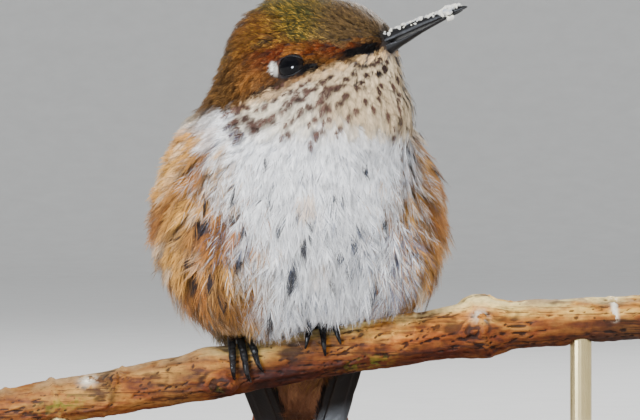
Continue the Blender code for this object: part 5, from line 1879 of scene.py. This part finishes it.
def stand_materials():
    n = Nodes("walnut")
    place = n.place()
    warp = n.noise(place, (14, 60, 60), 3.0)
    rings = n.noise(place, (22, 520, 520), 5.0, 0.6, 0.4)
    pores = n.noise(place, (260, 3600, 3600), 2.0)
    ground = n.ramp(
        n.math("ADD", n.times(rings, 0.7), n.times(warp, 0.3)),
        (0.30, colour(48, 29, 18)), (0.5, colour(84, 54, 34)), (0.7, colour(118, 80, 52)),
    )
    walnut = n.finish(
        base_color=n.blend(n.times(n.range(pores, 0.60, 0.72), 0.6), ground, colour(30, 17, 10)),
        roughness=n.range(pores, 0.3, 0.7, 0.30, 0.46), coat_weight=0.25, coat_roughness=0.2,
        normal=n.bump(pores, 0.25, 0.0001),
    )
    n = Nodes("brushed_brass")
    brush = n.noise(n.place(), (5200, 5200, 60), 3.0)
    stain = n.noise(n.place(), 160.0, 3.0)
    brass = n.finish(
        base_color=n.ramp(stain, (0.3, (0.60, 0.47, 0.22)), (0.7, (0.75, 0.62, 0.34))), metallic=1.0,
        roughness=n.range(brush, 0.3, 0.7, 0.22, 0.38), normal=n.bump(brush, 0.2, 0.00005),
    )
    return walnut, brass


def make_stand():
    """Walnut and brushed brass for the stand, and a turned collar where each rod meets the base."""
    walnut, brass = stand_materials()
    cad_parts["stand_base"].data.materials[0] = walnut
    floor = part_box("stand_base")[1][2] / MM
    for side in SIDES:
        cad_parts[f"stand_rod_{side}"].data.materials[0] = brass
        x, y = np.mean(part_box(f"stand_rod_{side}"), axis=0)[:2] / MM
        points, faces = ring_shell(lathe([(r, floor + z) for r, z in COLLAR], 48, x, y))
        data = mesh_of(f"stand_collar_{side}", points, facing_out(points - (x, y, floor), faces))
        data.set_sharp_from_angle(angle=math.radians(40))
        piece(f"stand_collar_{side}", data, brass)


# ---- Studio -------------------------------------------------------------------------------------------


def aim(obj, target):
    """Turns a camera or a lamp towards a place."""
    obj.rotation_euler = (Vector(target) - obj.location).to_track_quat("-Z", "Y").to_euler()


def lamp(name, place, target, size, power, shade=(1.0, 1.0, 1.0)):
    """A round soft lamp that the camera doesn't see."""
    data = bpy.data.lights.new(name, "AREA")
    data.shape = "DISK"
    data.size = size
    data.energy = power
    data.color = shade
    made = add(name, data)
    made.location = place
    aim(made, target)
    made.visible_camera = False
    return made


# In metres: the camera's distance and height, and how much width it shows there
VIEW_AWAY, VIEW_UP, VIEW_WIDTH = 0.6, 0.048, 0.0736


def make_camera():
    """The camera, level and in front, with the photo's framing."""
    data = bpy.data.cameras.new("camera")
    data.sensor_width = 36.0
    data.lens = data.sensor_width * VIEW_AWAY / VIEW_WIDTH
    data.clip_start = 0.01
    made = add("camera", data)
    made.location = (0.0, -VIEW_AWAY, VIEW_UP)
    aim(made, (0.0, 0.0, VIEW_UP))
    bpy.context.scene.camera = made


FLOOR_RADIUS, CURVE, WALL_TOP = 3.0, 1.0, 3.2  # of the studio's dish, in metres
DISH_SIDES = 72


def make_dish():
    """A pale seamless dish all round: floor, curve and wall."""
    profile = [(1.0, 0.0), (FLOOR_RADIUS, 0.0)]
    for turn in np.linspace(0, math.pi / 2, 17)[1:]:
        profile.append((FLOOR_RADIUS + CURVE * math.sin(turn), CURVE * (1.0 - math.cos(turn))))
    profile.append((FLOOR_RADIUS + CURVE, WALL_TOP))
    rows = lathe(profile, DISH_SIDES)
    points = np.concatenate([np.zeros((1, 3)), rows.reshape(-1, 3)]) / MM
    k = np.arange(DISH_SIDES)
    middle = np.stack([0 * k, 1 + k, 1 + (k + 1) % DISH_SIDES], axis=1)
    faces = np.concatenate([middle, grid_faces(len(rows), DISH_SIDES, ring=True)[:, ::-1] + 1])
    n = Nodes("studio_paper")
    shade = n.ramp(n.noise(n.place(), 60.0, 3.0), (0.3, (0.70, 0.70, 0.69)), (0.7, (0.74, 0.74, 0.73)))
    n.finish(base_color=shade, roughness=0.9)
    add("studio_floor", mesh_of("studio_floor", points, faces), n.material)


def make_studio():
    """The dish with soft lamps, and light from above."""
    make_dish()
    world = bpy.data.worlds.new("studio")
    world.use_nodes = True
    background = next(node for node in world.node_tree.nodes if node.type == "BACKGROUND")
    background.inputs["Color"].default_value = (0.95, 0.97, 1.0, 1.0)
    background.inputs["Strength"].default_value = 0.8
    bpy.context.scene.world = world
    target = (0.0, 0.0, 0.045)
    key = lamp("key", (-0.55, -0.9, 0.95), target, 0.55, 34.0, (1.0, 0.985, 0.96))
    fill = lamp("fill", (0.9, -0.8, 0.45), target, 0.6, 7.0, (0.95, 0.97, 1.0))
    lamp("rim", (0.5, 0.9, 0.8), target, 0.5, 9.0)
    # soft lights that only gloss shows: over the crown, and back from the eye towards the camera
    key.visible_glossy = fill.visible_glossy = False
    gloss = lamp("gloss", (-0.55, -0.9, 0.95), target, 0.45, 5.0)
    middle, outward, forward, upward = EYES["right"]
    facing = unit(0.17 * forward - 0.24 * upward + 0.95 * outward)
    view = unit(np.array((0.0, -VIEW_AWAY, VIEW_UP)) / MM - middle)
    place = (middle + 80.0 * unit(2 * (facing @ view) * facing - view)) * MM
    glint = lamp("catchlight", place, middle * MM, 0.017, 0.16, (0.80, 0.88, 1.0))
    gloss.visible_diffuse = glint.visible_diffuse = False


def make_all():
    """Every piece of the bird, the twig and the stand, in the order of the random draws."""
    make_body()
    rng = np.random.default_rng(SEED + 1)
    lens, lid = eye_materials()
    vane = quill_material("wing_vanes")
    cover = plume("covert_plumage", 0.40, metallic=0.3)
    for side in SIDES:
        make_eye(side, lens, lid)
        blade = wing_blade(side)
        make_primaries(side, rng, blade, vane)
        make_arm(side, blade, vane)
        make_coverts(side, rng, blade, cover)
    make_tail(rng)
    make_bill(rng)
    make_feet()
    make_twig()
    make_stand()


make_all()
make_camera()
make_studio()
